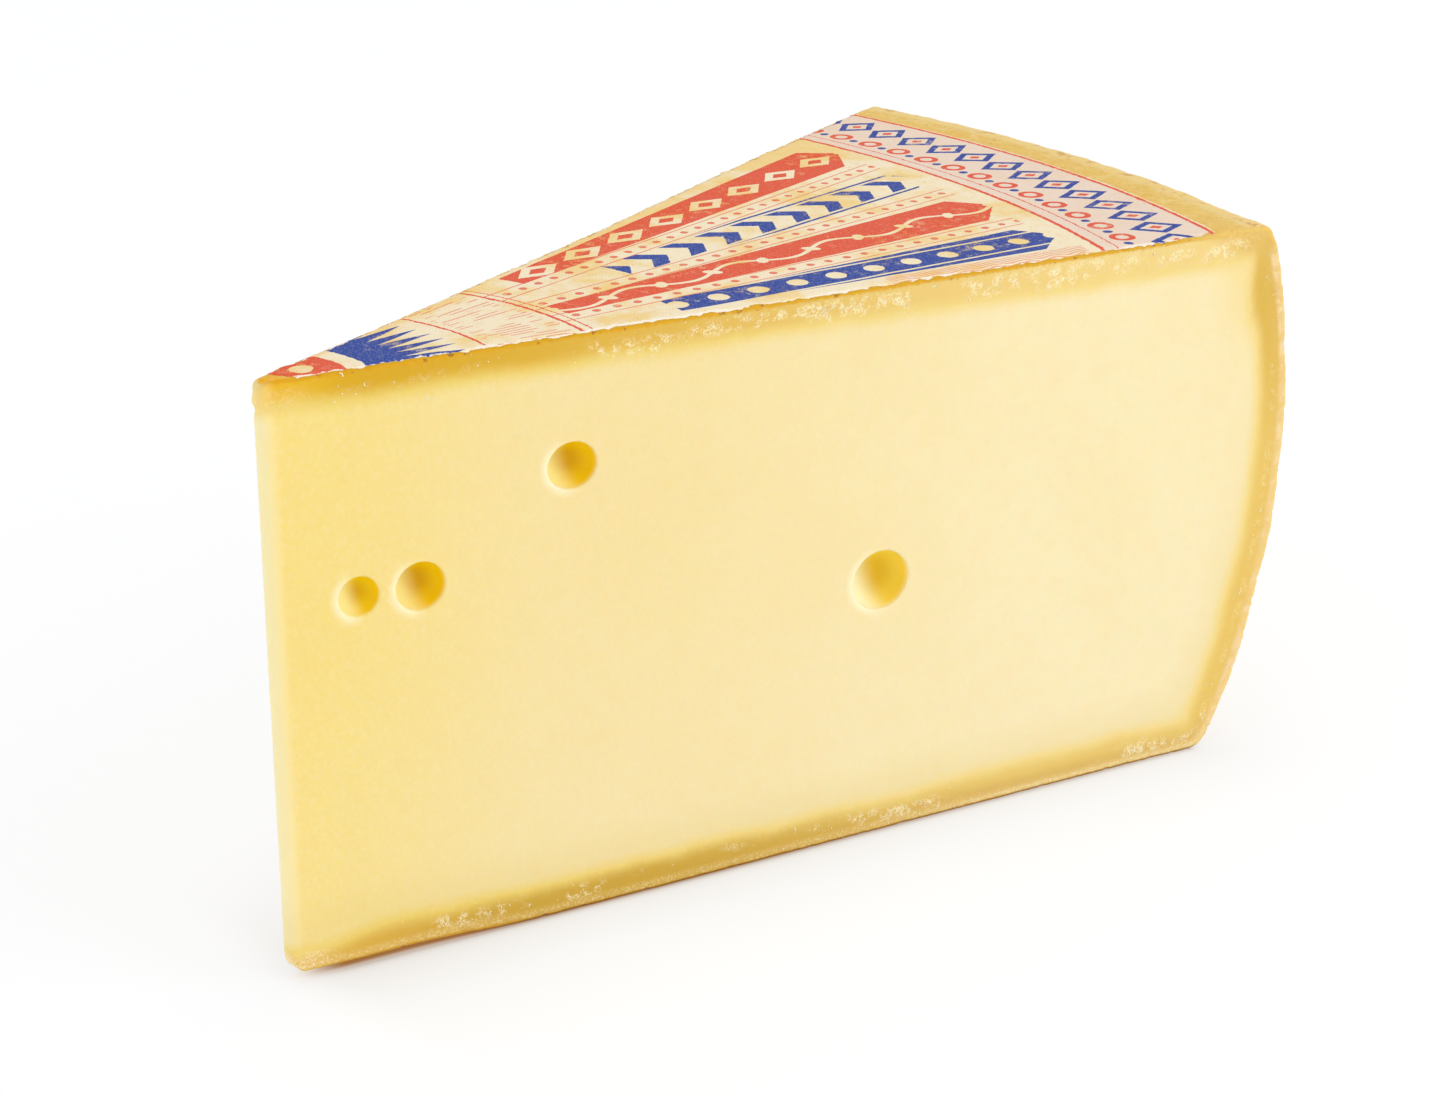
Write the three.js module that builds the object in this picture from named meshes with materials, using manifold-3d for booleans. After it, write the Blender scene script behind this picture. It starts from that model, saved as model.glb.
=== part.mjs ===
// A wedge of hard mountain cheese, cut from a flat round wheel, with the printed paper label of the
// wheel on its top rind. Millimetres, +Z up. The wedge stands on its lower rind, its nose points to
// -X and its heel to +X, and the origin is on the surface it stands on, under the middle of its box.
import * as THREE from 'three';
import { mergeVertices } from 'three/addons/utils/BufferGeometryUtils.js';
import Module from 'manifold-3d';

const wasm = await Module();
wasm.setup();

// The wheel
const WHEEL_HEIGHT = 114.7;
const HEEL_RADIUS = 280.2;                          // the wheel at its widest
const WHEEL_CENTRE = new THREE.Vector2(-34, 60.6);  // seen from the crossing of the two cuts

// The wheel's side in section, from its foot to its top rim: [radius less HEEL_RADIUS, height]
const WHEEL_SIDE = [[-18.2, 0], [-14.9, 2.2], [-11.3, 9.9], [-6.8, 23], [-3, 39], [-0.8, 55], [0, 73],
  [-1.1, 89.5], [-3.8, 103], [-5.8, 110], [-7.7, 113.6], [-11.4, WHEEL_HEIGHT]];

// Dents round the pressed side: [depth, number round the wheel, lean for each mm of height]
const RIND_DENTS = [[0.35, 41, 0.06], [0.25, 73, -0.11]];
const RIND_BAND_DEPTH = 0.2;                        // and low bands that run round it,
const RIND_BAND_RATE = 0.21;                        // so many radians for each mm of height,
const RIND_BAND_SWAY = 2;                           // and sway up and down
const RIND_BAND_SWAYS = 23;

// The wedge, in plan: two cuts that cross at the point (0, 0), one on each side of +X
const WEDGE_ANGLE = THREE.MathUtils.degToRad(32.7);
const CUT_REACH = 320;                              // past the heel, which the wheel cuts off
const NOSE_RADIUS = 2.1;                            // the narrow blunt nose between the cuts
const NOSE_ALONG_FRONT = 3.2;                       // from the crossing to the nose's centre
const NOSE_TOP_ROUND = 3.2;
const NOSE_FOOT_ROUND = 3.4;
const NOSE_LIFT = 1.3;                              // the foot stands clear under the nose,
const NOSE_LIFT_FULL = 24;                          // so far in from the crossing,
const NOSE_LIFT_END = 52;                           // and touches down here
const CUT_EDGE_ROUND = 0.5;                         // where the cuts meet the top and the foot

// How far the back cut stands out from its straight line: [distance from the crossing, offset].
// The knife wandered a little, and the nose is thicker than the two straight cuts would leave it.
const BACK_CUT_BOW = [[8, 1.75], [17, 1.3], [28, 0.7], [48, 0.15], [112, -0.55], [150, 0],
  [190, 0.45], [246, 0], [CUT_REACH, 0]];

// Eyes: gas holes that a cut opened: [cut, distance from the crossing, height, half width,
// half height, depth]
const EYES = [
  ['front', 59.8, 90.2, 5.0, 4.5, 4.6],
  ['front', 29.5, 72.6, 4.8, 4.6, 4.6],
  ['front', 17.7, 72.9, 3.9, 3.8, 2.9],
  ['front', 126.8, 55.0, 6.4, 6.1, 5.6],
  ['back', 72, 41, 4.6, 4.3, 4.0],
  ['back', 143, 78, 5.9, 5.4, 5.0],
  ['back', 176, 33, 3.6, 3.4, 3.0],
];

// The label, a thin sheet on the flat of the top rind
const LABEL_RADIUS = 259.4;                         // its round outer edge, about the wheel's centre
const LABEL_START_FRONT = 8.5;                      // its torn inner end, from the crossing
const LABEL_START_BACK = 6;
const LABEL_INSET = 0.5;                            // from both cuts
const LABEL_RAGGED = 0.2;                           // how far its torn edges stray,
const TEAR_WAVES = [[1, 0.83, 0], [0.6, 2.17, 1]];  // in waves: [share, rate, start]
const BACK_TEAR_START = 50;                         // where the back edge's waves start
const LABEL_THICKNESS = 0.3;
const LABEL_GAP = 0.02;
const LABEL_STEP = 3;                               // along its torn edges

// How finely the curves are faceted
const WHEEL_SEGMENTS = 360;
const SIDE_STEPS = 3;                               // between two points of the wheel's side
const CUT_CURVE_SEGMENTS = 8;
const CUT_EDGE_SEGMENTS = 3;
const CORNER_SEGMENTS = 6;
const EYE_SEGMENTS = [26, 18];
const LABEL_ARC_SEGMENTS = 20;
const MERGE_DISTANCE = 1e-4;

const FRONT = new THREE.Vector2(Math.cos(WEDGE_ANGLE / 2), -Math.sin(WEDGE_ANGLE / 2));
const BACK = new THREE.Vector2(Math.cos(WEDGE_ANGLE / 2), Math.sin(WEDGE_ANGLE / 2));
const FRONT_OUT = new THREE.Vector2(FRONT.y, -FRONT.x);
const BACK_OUT = new THREE.Vector2(-BACK.y, BACK.x);

// A point beside a cut: so far along it from the crossing, and so far out of the wedge
function besideCut(direction, outward, along, out) {
  return direction.clone().multiplyScalar(along).addScaledVector(outward, out);
}

// A closed geometry as a solid, with its shared vertices merged and empty triangles dropped
function toSolid(geometry) {
  const bare = geometry.clone();
  bare.deleteAttribute('normal');
  bare.deleteAttribute('uv');
  const merged = mergeVertices(bare, MERGE_DISTANCE);
  const corners = merged.index.array;
  const kept = [];
  for (let i = 0; i < corners.length; i += 3) {
    const [a, b, c] = corners.slice(i, i + 3);
    if (a !== b && b !== c && c !== a) kept.push(a, b, c);
  }
  return new wasm.Manifold(new wasm.Mesh({
    numProp: 3,
    vertProperties: new Float32Array(merged.attributes.position.array),
    triVerts: new Uint32Array(kept),
  }));
}

function toGeometry(solid) {
  const mesh = solid.getMesh();
  const geometry = new THREE.BufferGeometry();
  geometry.setAttribute('position', new THREE.BufferAttribute(mesh.vertProperties, 3));
  geometry.setIndex(new THREE.BufferAttribute(mesh.triVerts, 1));
  geometry.computeVertexNormals();
  return geometry;
}

// Half of the wheel's section, from the axis at the foot to the axis at the top
function wheelProfile() {
  const side = WHEEL_SIDE.map(([out, height]) => new THREE.Vector2(HEEL_RADIUS + out, height));
  const points = new THREE.SplineCurve(side).getPoints(SIDE_STEPS * (side.length - 1));
  return [new THREE.Vector2(0, 0), ...points, new THREE.Vector2(0, WHEEL_HEIGHT)];
}

// Low unevenness of the pressed rind on the wheel's side, fading out at the foot and the rim
function rindRelief(angle, height) {
  const fade = Math.sin(Math.PI * THREE.MathUtils.clamp(height / WHEEL_HEIGHT, 0, 1));
  const dents = RIND_DENTS.reduce((sum, [depth, number, lean]) => (
    sum + depth * Math.sin(number * angle + lean * height)), 0);
  const sway = RIND_BAND_SWAY * Math.sin(RIND_BAND_SWAYS * angle);
  const bands = RIND_BAND_DEPTH * Math.sin(RIND_BAND_RATE * height + sway);
  return fade * (dents + bands);
}

function wheel() {
  const geometry = new THREE.LatheGeometry(wheelProfile(), WHEEL_SEGMENTS);
  const position = geometry.attributes.position;
  for (let i = 0; i < position.count; i += 1) {
    const [x, height, z] = [position.getX(i), position.getY(i), position.getZ(i)];
    const radius = Math.hypot(x, z);
    if (radius < HEEL_RADIUS / 2 || height <= 0 || height >= WHEEL_HEIGHT) continue;
    const scale = 1 + rindRelief(Math.atan2(z, x), height) / radius;
    position.setXYZ(i, x * scale, height, z * scale);
  }
  geometry.rotateX(Math.PI / 2);
  geometry.translate(WHEEL_CENTRE.x, WHEEL_CENTRE.y, 0);
  return toSolid(geometry);
}

// Everything between the two cuts, with the blunt nose and softened top and bottom edges
function betweenCuts() {
  const nose = besideCut(FRONT, FRONT_OUT, NOSE_ALONG_FRONT, -NOSE_RADIUS);
  const backCut = BACK_CUT_BOW.map(([along, out]) => besideCut(BACK, BACK_OUT, along, out));
  const outline = new THREE.Shape();
  const backEnd = BACK.clone().multiplyScalar(CUT_REACH);
  const frontEnd = FRONT.clone().multiplyScalar(CUT_REACH);
  outline.moveTo(backEnd.x, backEnd.y);
  outline.lineTo(frontEnd.x, frontEnd.y);
  outline.absarc(nose.x, nose.y, NOSE_RADIUS, FRONT_OUT.angle(), BACK_OUT.angle(), true);
  outline.splineThru(backCut);
  const geometry = new THREE.ExtrudeGeometry(outline, {
    depth: WHEEL_HEIGHT - 2 * CUT_EDGE_ROUND,
    curveSegments: CUT_CURVE_SEGMENTS,
    bevelSize: CUT_EDGE_ROUND,
    bevelThickness: CUT_EDGE_ROUND,
    bevelOffset: -CUT_EDGE_ROUND,
    bevelSegments: CUT_EDGE_SEGMENTS,
  });
  geometry.translate(0, 0, CUT_EDGE_ROUND);
  return toSolid(geometry);
}

// A block with the wedge's side view, whose upper and lower corners at the nose are round
function sideBlock() {
  const left = besideCut(FRONT, FRONT_OUT, NOSE_ALONG_FRONT, -NOSE_RADIUS).x - NOSE_RADIUS;
  const side = new THREE.Shape();
  side.moveTo(CUT_REACH, 0);
  side.lineTo(CUT_REACH, WHEEL_HEIGHT);
  side.absarc(left + NOSE_TOP_ROUND, WHEEL_HEIGHT - NOSE_TOP_ROUND, NOSE_TOP_ROUND,
    Math.PI / 2, Math.PI, false);
  side.absarc(left + NOSE_FOOT_ROUND, NOSE_LIFT + NOSE_FOOT_ROUND, NOSE_FOOT_ROUND,
    Math.PI, 1.5 * Math.PI, false);
  side.lineTo(NOSE_LIFT_FULL, NOSE_LIFT);
  side.bezierCurveTo((NOSE_LIFT_FULL + NOSE_LIFT_END) / 2, NOSE_LIFT,
    (NOSE_LIFT_FULL + NOSE_LIFT_END) / 2, 0, NOSE_LIFT_END, 0);
  const geometry = new THREE.ExtrudeGeometry(side, {
    depth: 2 * CUT_REACH, curveSegments: CORNER_SEGMENTS, bevelEnabled: false,
  });
  geometry.rotateX(Math.PI / 2);
  geometry.translate(0, CUT_REACH, 0);
  return toSolid(geometry);
}

// How far the back cut stands out from its straight line at a distance from the crossing
function backBow(along) {
  const next = BACK_CUT_BOW.findIndex(([at]) => at >= along);
  const [[atA, outA], [atB, outB]] = [BACK_CUT_BOW[Math.max(next - 1, 0)], BACK_CUT_BOW[next]];
  return atA === atB ? outA : THREE.MathUtils.mapLinear(along, atA, atB, outA, outB);
}

// One eye, an ellipsoid whose middle lies on the cut
function eye([cut, along, height, halfWidth, halfHeight, depth]) {
  const isFront = cut === 'front';
  const direction = isFront ? FRONT : BACK;
  const place = isFront ? besideCut(FRONT, FRONT_OUT, along, 0)
    : besideCut(BACK, BACK_OUT, along, backBow(along));
  const geometry = new THREE.SphereGeometry(1, ...EYE_SEGMENTS);
  geometry.scale(halfWidth, depth, halfHeight);
  geometry.rotateZ(direction.angle());
  geometry.translate(place.x, place.y, height);
  return toSolid(geometry);
}

function cheese() {
  let body = wheel().intersect(betweenCuts()).intersect(sideBlock());
  for (const opened of EYES) body = body.subtract(eye(opened));
  return toGeometry(body);
}

// How far a torn edge of the label strays from its line
function torn(along) {
  return LABEL_RAGGED * TEAR_WAVES.reduce((sum, [share, rate, start]) => (
    sum + share * Math.sin(rate * along + start)), 0);
}

// Where a line from the crossing, at a distance inside a cut, meets the label's round edge
function labelReach(direction, outward, out) {
  const start = outward.clone().multiplyScalar(out).sub(WHEEL_CENTRE);
  const ahead = start.dot(direction);
  return -ahead + Math.sqrt(ahead * ahead - start.lengthSq() + LABEL_RADIUS * LABEL_RADIUS);
}

function label() {
  const frontReach = labelReach(FRONT, FRONT_OUT, -LABEL_INSET);
  const backReach = labelReach(BACK, BACK_OUT, -LABEL_INSET);
  const frontEdge = [];
  for (let s = LABEL_START_FRONT; s < frontReach - LABEL_STEP / 2; s += LABEL_STEP) {
    frontEdge.push(besideCut(FRONT, FRONT_OUT, s, -LABEL_INSET + torn(s)));
  }
  const backEdge = [];
  for (let s = LABEL_START_BACK; s < backReach - LABEL_STEP / 2; s += LABEL_STEP) {
    backEdge.push(besideCut(BACK, BACK_OUT, s, -LABEL_INSET + backBow(s) + torn(s + BACK_TEAR_START)));
  }
  const corner = besideCut(FRONT, FRONT_OUT, frontReach, -LABEL_INSET).sub(WHEEL_CENTRE);
  const farCorner = besideCut(BACK, BACK_OUT, backReach, -LABEL_INSET).sub(WHEEL_CENTRE);
  const outline = new THREE.Shape(frontEdge);
  outline.absarc(WHEEL_CENTRE.x, WHEEL_CENTRE.y, LABEL_RADIUS, corner.angle(), farCorner.angle(), false);
  for (const point of backEdge.reverse()) outline.lineTo(point.x, point.y);
  const geometry = new THREE.ExtrudeGeometry(outline, {
    depth: LABEL_THICKNESS, curveSegments: LABEL_ARC_SEGMENTS, bevelEnabled: false,
  });
  geometry.translate(0, 0, WHEEL_HEIGHT + LABEL_GAP);
  return toGeometry(toSolid(geometry));
}

const cheeseMesh = new THREE.Mesh(cheese(), new THREE.MeshStandardMaterial({
  color: 0xf6e09c, roughness: 0.55, metalness: 0,
}));
cheeseMesh.name = 'cheese';

const labelMesh = new THREE.Mesh(label(), new THREE.MeshStandardMaterial({
  color: 0xe8d6a4, roughness: 0.85, metalness: 0,
}));
labelMesh.name = 'label';

const wedge = new THREE.Group();
wedge.add(cheeseMesh, labelMesh);
const middle = new THREE.Box3().setFromObject(wedge).getCenter(new THREE.Vector3());
wedge.position.set(-middle.x, -middle.y, 0);
wedge.updateMatrixWorld(true);

export default wedge;
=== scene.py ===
"""A wedge of hard mountain cheese with its golden rind, eyes, printed paper label and crumbs.

The script is laid out as a Blender add-on and is run as a plain script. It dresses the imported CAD
model of the wedge. Shapes are worked out in millimetres from the crossing of the two cuts, with +X
along the wedge's middle, and go into the meshes in metres, in the model's own frame.
"""

import functools
import math

import bmesh
import bpy
import numpy as np
from mathutils import Matrix, Vector, noise


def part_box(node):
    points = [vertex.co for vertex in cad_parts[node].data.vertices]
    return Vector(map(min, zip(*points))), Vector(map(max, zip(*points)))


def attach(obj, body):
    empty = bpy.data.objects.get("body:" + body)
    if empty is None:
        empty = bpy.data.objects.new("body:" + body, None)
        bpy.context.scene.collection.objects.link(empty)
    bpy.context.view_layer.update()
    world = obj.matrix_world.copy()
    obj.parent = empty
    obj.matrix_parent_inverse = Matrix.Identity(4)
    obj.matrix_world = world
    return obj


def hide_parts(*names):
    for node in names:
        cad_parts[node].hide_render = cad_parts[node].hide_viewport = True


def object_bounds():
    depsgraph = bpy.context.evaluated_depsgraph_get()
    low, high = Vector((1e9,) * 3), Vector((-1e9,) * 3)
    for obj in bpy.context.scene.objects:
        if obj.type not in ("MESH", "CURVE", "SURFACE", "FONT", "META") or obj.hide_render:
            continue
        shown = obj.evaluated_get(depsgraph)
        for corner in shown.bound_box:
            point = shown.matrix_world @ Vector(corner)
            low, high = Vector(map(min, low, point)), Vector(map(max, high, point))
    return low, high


bl_info = {
    "name": "Cheese Wedge",
    "version": (1, 0, 0),
    "blender": (4, 5, 0),
    "location": "3D View > Sidebar > Cheese",
    "description": "A wedge of hard cheese with its rind, eyes, crumbs and printed paper label",
    "category": "Object",
}

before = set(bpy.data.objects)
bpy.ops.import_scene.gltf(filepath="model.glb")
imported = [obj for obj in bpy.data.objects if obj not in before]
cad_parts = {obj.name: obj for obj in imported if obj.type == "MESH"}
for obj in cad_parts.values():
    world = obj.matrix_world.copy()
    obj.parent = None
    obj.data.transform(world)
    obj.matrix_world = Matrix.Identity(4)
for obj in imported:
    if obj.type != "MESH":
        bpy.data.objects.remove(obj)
CAD_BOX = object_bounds()

MM = 0.001

# The wheel that the wedge was cut from
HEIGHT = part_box("cheese")[1].z / MM
HEEL_RADIUS = 280.2
WHEEL_CENTRE = np.array([-34, 60.6])
SIDE_PROFILE = [
    (-18.2, 0), (-14.9, 2.2), (-11.3, 9.9), (-6.8, 23), (-3, 39), (-0.8, 55),
    (0, 73), (-1.1, 89.5), (-3.8, 103), (-5.8, 110), (-7.8, 113.9), (-10.9, HEIGHT),
]

# The two cuts and the blunt nose between them
HALF_ANGLE = math.radians(32.7) / 2
FRONT = np.array([math.cos(HALF_ANGLE), -math.sin(HALF_ANGLE)])
FRONT_OUT = np.array([FRONT[1], -FRONT[0]])
BACK = np.array([math.cos(HALF_ANGLE), math.sin(HALF_ANGLE)])
BACK_OUT = np.array([-BACK[1], BACK[0]])
CUTS = {"front": (FRONT, FRONT_OUT), "back": (BACK, BACK_OUT)}
NOSE_RADIUS = 2.1
NOSE_CENTRE = 3.2 * FRONT - NOSE_RADIUS * FRONT_OUT
NOSE_LEFT = NOSE_CENTRE[0] - NOSE_RADIUS
NOSE_TOP_ROUND = 2.7
NOSE_FOOT_ROUND = 3.0
NOSE_FOOT_RISE = 7.6
NOSE_LIFT = 1.3
NOSE_LIFT_FULL = 24
NOSE_LIFT_END = 52
BACK_CUT_BOW = [
    (-6, 3.06), (3.8, 2.14), (8, 1.75), (17, 1.3), (28, 0.7), (48, 0.15),
    (112, -0.55), (150, 0), (190, 0.45), (246, 0), (320, 0),
]
BOW_BLUR = 6

# Where the crossing of the cuts lies in the frame
CROSSING = np.array([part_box("cheese")[0].x / MM - NOSE_LEFT, -4.3, 0])

# How softly the surfaces meet
EDGE_ROUND = 0.6
NOSE_EDGE_ROUND = 1.2
NOSE_EDGE_REACH = 8
RIM_ROUND = 1.0
EYE_LIP = 0.4

# Eyes: cut, distance from the crossing, height, half width, half height, depth
EYES = [
    ("front", 59.8, 90.2, 5.0, 4.5, 4.6),
    ("front", 29.5, 72.6, 4.8, 4.6, 4.6),
    ("front", 17.7, 72.9, 3.9, 3.8, 2.9),
    ("front", 126.8, 55.0, 6.4, 6.1, 5.6),
    ("back", 72, 41, 4.6, 4.3, 4.0),
    ("back", 143, 78, 5.9, 5.4, 5.0),
    ("back", 176, 33, 3.6, 3.4, 3.0),
]

# The label: a paper sheet on the flat of the top rind, with two printed rings
LABEL_RADIUS = 259.4
LABEL_START = {"front": 8.5, "back": 6.0}
LABEL_INSET = 0.6
OUTER_RING = 258.4
INNER_RING = 231.8

# The camera, from the crossing of the cuts
CAMERA_PLACE = np.array([-264.98, -364.86, 260.60])
CAMERA_PITCH = math.radians(21.450)
CAMERA_YAW = math.radians(45.968)
CAMERA_ROLL = math.radians(0.413)
CAMERA_LENS = 70.10
SENSOR_WIDTH = 36.0

# The lights and the floor, in metres
KEY_PLACE = (0.9, -1.6, 1.3)
FILL_PLACE = (-1.8, 0.1, 0.7)
LIGHT_TARGET = (0, 0, 0.05)
LIGHT_SIZE = 1.4
FLOOR_DROP = 0.05 * MM


def linear(red, green, blue):
    """A colour given by its screen values, from 0 to 255, in linear light."""
    shares = [value / 255 for value in (red, green, blue)]
    light = [s / 12.92 if s <= 0.04045 else ((s + 0.055) / 1.055) ** 2.4 for s in shares]
    return (*light, 1.0)


def colour_property(name, description, screen):
    """A colour property with its default given by screen values."""
    shade = linear(*screen)
    return bpy.props.FloatVectorProperty(
        name=name, description=description, subtype="COLOR", size=4, min=0, max=1, default=shade
    )


def length_property(name, description, length):
    """A length property with its default given in millimetres."""
    return bpy.props.FloatProperty(
        name=name, description=description, unit="LENGTH", default=length * MM
    )


class BodySettings(bpy.types.PropertyGroup):
    """Sizes and colours of the cheese itself."""

    cell: length_property("Cell", "Mesh cell on the smooth faces", 2.4)
    paste_nose: colour_property("Paste at the nose", "Cut paste near the nose", (245, 220, 130))
    paste_middle: colour_property("Paste", "Cut paste half way along", (244, 223, 162))
    paste_heel: colour_property("Paste at the heel", "Cut paste near the heel", (247, 231, 184))
    band_top: colour_property("Upper band", "Ripe paste under the top rind", (219, 171, 24))
    band_foot: colour_property("Lower band", "Ripe paste over the foot", (207, 166, 58))
    band_heel: colour_property("Heel band", "Ripe paste inside the heel", (232, 196, 100))
    skin: colour_property("Skin", "Thin outer skin of the rind", (224, 164, 2))
    rind: colour_property("Rind", "Golden rind", (255, 213, 98))
    rind_dark: colour_property("Dark rind", "Darker patches of the rind", (244, 181, 14))
    bloom: colour_property("Bloom", "Pale bloom on the rind", (253, 223, 148))
    # Eye walls carry painted light and shade: deep gold where the wall lies in shade and light bounces
    # inside it, and pale where light falls on it
    eye: colour_property("Eye", "Glossy wall of an eye near the nose", (227, 177, 0))
    eye_heel_tone_and_shade: colour_property("Eye at the heel", "Wall of an eye in the paler paste", (238, 198, 48))
    eye_painted_light: colour_property("Lit eye", "Wall of an eye where light comes through", (252, 234, 154))


class LabelSettings(bpy.types.PropertyGroup):
    """Sizes and colours of the paper label."""

    thickness: length_property("Thickness", "Thickness of the paper", 0.22)
    rows: bpy.props.IntProperty(name="Rows", description="Mesh rows along the wedge", default=400)
    columns: bpy.props.IntProperty(name="Columns", description="Mesh columns across it", default=100)
    paper: colour_property("Paper", "Bare paper", (255, 240, 206))
    stain: colour_property("Stain", "Paper that took up butterfat", (252, 214, 124))
    ring_paper: colour_property("Ring paper", "Tinted ground between the rings", (244, 220, 204))
    red: colour_property("Red ink", "Red of the print", (235, 84, 56))
    blue: colour_property("Blue ink", "Blue of the print", (8, 66, 163))


class CrumbSettings(bpy.types.PropertyGroup):
    """Number and size of the crumbs along the cut edges."""

    curls: bpy.props.FloatProperty(
        name="Curls", description="Curled crumbs for each square centimetre", default=34.0
    )
    grains: bpy.props.FloatProperty(
        name="Grains", description="Grains for each square centimetre", default=80.0
    )
    length: length_property("Curl radius", "Bend radius of a curled crumb", 0.36)
    grain: length_property("Grain radius", "Radius of a grain", 0.16)
    seed: bpy.props.IntProperty(name="Seed", description="Seed of their places", default=7)
    colour: colour_property("Colour", "Pale dry crumbs", (255, 244, 208))


class StageSettings(bpy.types.PropertyGroup):
    """Floor and lights."""

    floor: bpy.props.FloatProperty(
        name="Floor", description="Width of the floor", default=12.0, unit="LENGTH"
    )
    glow: bpy.props.FloatProperty(
        name="Floor glow", description="Light that the lit floor gives off itself", default=0.82
    )
    sky: bpy.props.FloatProperty(name="Sky", description="Strength of the white sky", default=0.70)
    key: bpy.props.FloatProperty(
        name="Key light", description="Power of the key light", default=17.0, unit="POWER"
    )
    fill: bpy.props.FloatProperty(
        name="Fill light", description="Power of the light on the nose", default=5.0, unit="POWER"
    )


# ---------------------------------------------------------------------------------------------
# The wedge as a distance field, in millimetres from the crossing of the cuts
# ---------------------------------------------------------------------------------------------


def to_frame(points):
    """Points from the crossing of the cuts, in the frame and in metres."""
    return (points + CROSSING) * MM


def from_frame(points):
    """Points of the frame, in metres, as millimetres from the crossing of the cuts."""
    return points / MM - CROSSING


def smooth_max(first, second, width):
    """The larger of two distances, rounded over where they are within that width."""
    near = np.clip(1 - np.abs(first - second) / width, 0, 1)
    return np.maximum(first, second) + near**2 * width / 4


def smooth_step(value, low, high):
    """0 below low and 1 above high, with a smooth rise between them."""
    share = np.clip((value - low) / (high - low), 0, 1)
    return share**2 * (3 - 2 * share)


def fade(distance, reach):
    """1 up to no distance, and less and less beyond it."""
    return np.exp(-np.maximum(distance, 0) / reach)


def bell(value, middle, width):
    """1 at the middle and less and less to both sides of it."""
    return np.exp(-(((value - middle) / width) ** 2))


def cloud(points, size, octaves=3):
    """Smooth noise from about -1 to 1, with features of about that size."""
    return np.array([noise.fractal(Vector(p), 0.8, 2.0, octaves) for p in points / size])


def spline_through(points, steps=6):
    """A Catmull-Rom curve through points, with so many steps for each stretch."""
    padded = np.array([points[0], *points, points[-1]], float)
    share = np.linspace(0, 1, steps, endpoint=False)[:, None]
    made = []
    for before, start, end, after in zip(padded, padded[1:], padded[2:], padded[3:]):
        leave, arrive = (end - before) / 2, (after - start) / 2
        cubic = 2 * start - 2 * end + leave + arrive
        square = 3 * end - 3 * start - 2 * leave - arrive
        made.append(((cubic * share + square) * share + leave) * share + start)
    return np.vstack([*made, padded[-1:]])


SIDE_CURVE = spline_through(SIDE_PROFILE)


def back_bow(along):
    """How far the back cut stands out from its straight line."""
    at, out = zip(*BACK_CUT_BOW)
    shifts = np.linspace(-BOW_BLUR, BOW_BLUR, 7)
    return np.mean([np.interp(along + shift, at, out) for shift in shifts], axis=0)


def cut_distance(x, y):
    """Distance out of the two cuts and of the nose between them."""
    front = x * FRONT_OUT[0] + y * FRONT_OUT[1]
    back = x * BACK_OUT[0] + y * BACK_OUT[1] - back_bow(x * BACK[0] + y * BACK[1])
    from_nose_x, from_nose_y = x - NOSE_CENTRE[0], y - NOSE_CENTRE[1]
    before_front = from_nose_x * FRONT[0] + from_nose_y * FRONT[1] < 0
    before_back = from_nose_x * BACK[0] + from_nose_y * BACK[1] < 0
    nose = np.hypot(from_nose_x, from_nose_y) - NOSE_RADIUS
    return np.where(before_front & before_back, nose, np.maximum(front, back))


def side_distance(x, y, z):
    """Distance out of the wheel's side."""
    radius = np.hypot(x - WHEEL_CENTRE[0], y - WHEEL_CENTRE[1])
    reach = HEEL_RADIUS + np.interp(z, SIDE_CURVE[:, 1], SIDE_CURVE[:, 0])
    slope = np.gradient(SIDE_CURVE[:, 0], SIDE_CURVE[:, 1])
    lean = np.interp(z, SIDE_CURVE[:, 1], slope)
    return (radius - reach) / np.sqrt(1 + lean**2)


def round_corner(first, second, radius):
    """Distance out of a corner between two faces that is rounded to a radius."""
    inner = np.hypot(np.maximum(first + radius, 0), np.maximum(second + radius, 0)) - radius
    return np.where((first > -radius) & (second > -radius), inner, np.maximum(first, second))


def flat_distances(x, z):
    """Distances out of the top and the foot, and out of the nose's round corners with them."""
    lift = NOSE_LIFT * (1 - smooth_step(x, NOSE_LIFT_FULL, NOSE_LIFT_END))
    before, over, under = NOSE_LEFT - x, z - HEIGHT, lift - z
    top = round_corner(before, over, NOSE_TOP_ROUND)
    foot = round_corner(before, under * (NOSE_FOOT_ROUND / NOSE_FOOT_RISE), NOSE_FOOT_ROUND)
    return np.maximum(over, under), np.maximum(top, foot)


def eye_distance(points, eye):
    """Distance out of one eye, an ellipsoid whose middle lies on its cut."""
    cut, along, height, half_width, half_height, depth = eye
    direction, outward = CUTS[cut]
    out = 0 if cut == "front" else back_bow(np.array([float(along)]))[0]
    x, y, z = points.T
    run = x * direction[0] + y * direction[1] - along
    depth_run = x * outward[0] + y * outward[1] - out
    rise = z - height
    near = np.sqrt((run / half_width) ** 2 + (depth_run / depth) ** 2 + (rise / half_height) ** 2)
    slope = np.sqrt(
        (run / half_width**2) ** 2 + (depth_run / depth**2) ** 2 + (rise / half_height**2) ** 2
    )
    return near * (near - 1) / np.maximum(slope, 1e-6)


def eye_places(points):
    """How far each point is outside the nearest eye's rim on its cut, and how far along and up in it."""
    x, y, z = points.T
    places = np.tile([1e3, 0.0, 0.0], (len(points), 1))
    for cut, along, height, half_width, half_height, _ in EYES:
        direction, outward = CUTS[cut]
        run = (x * direction[0] + y * direction[1] - along) / half_width
        rise = (z - height) / half_height
        on_this_cut = np.abs(x * outward[0] + y * outward[1]) < 6
        away = np.where(on_this_cut, (np.hypot(run, rise) - 1) * half_width, 1e3)
        closer = away < places[:, 0]
        places[closer] = np.column_stack([away, run, rise])[closer]
    return places


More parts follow.
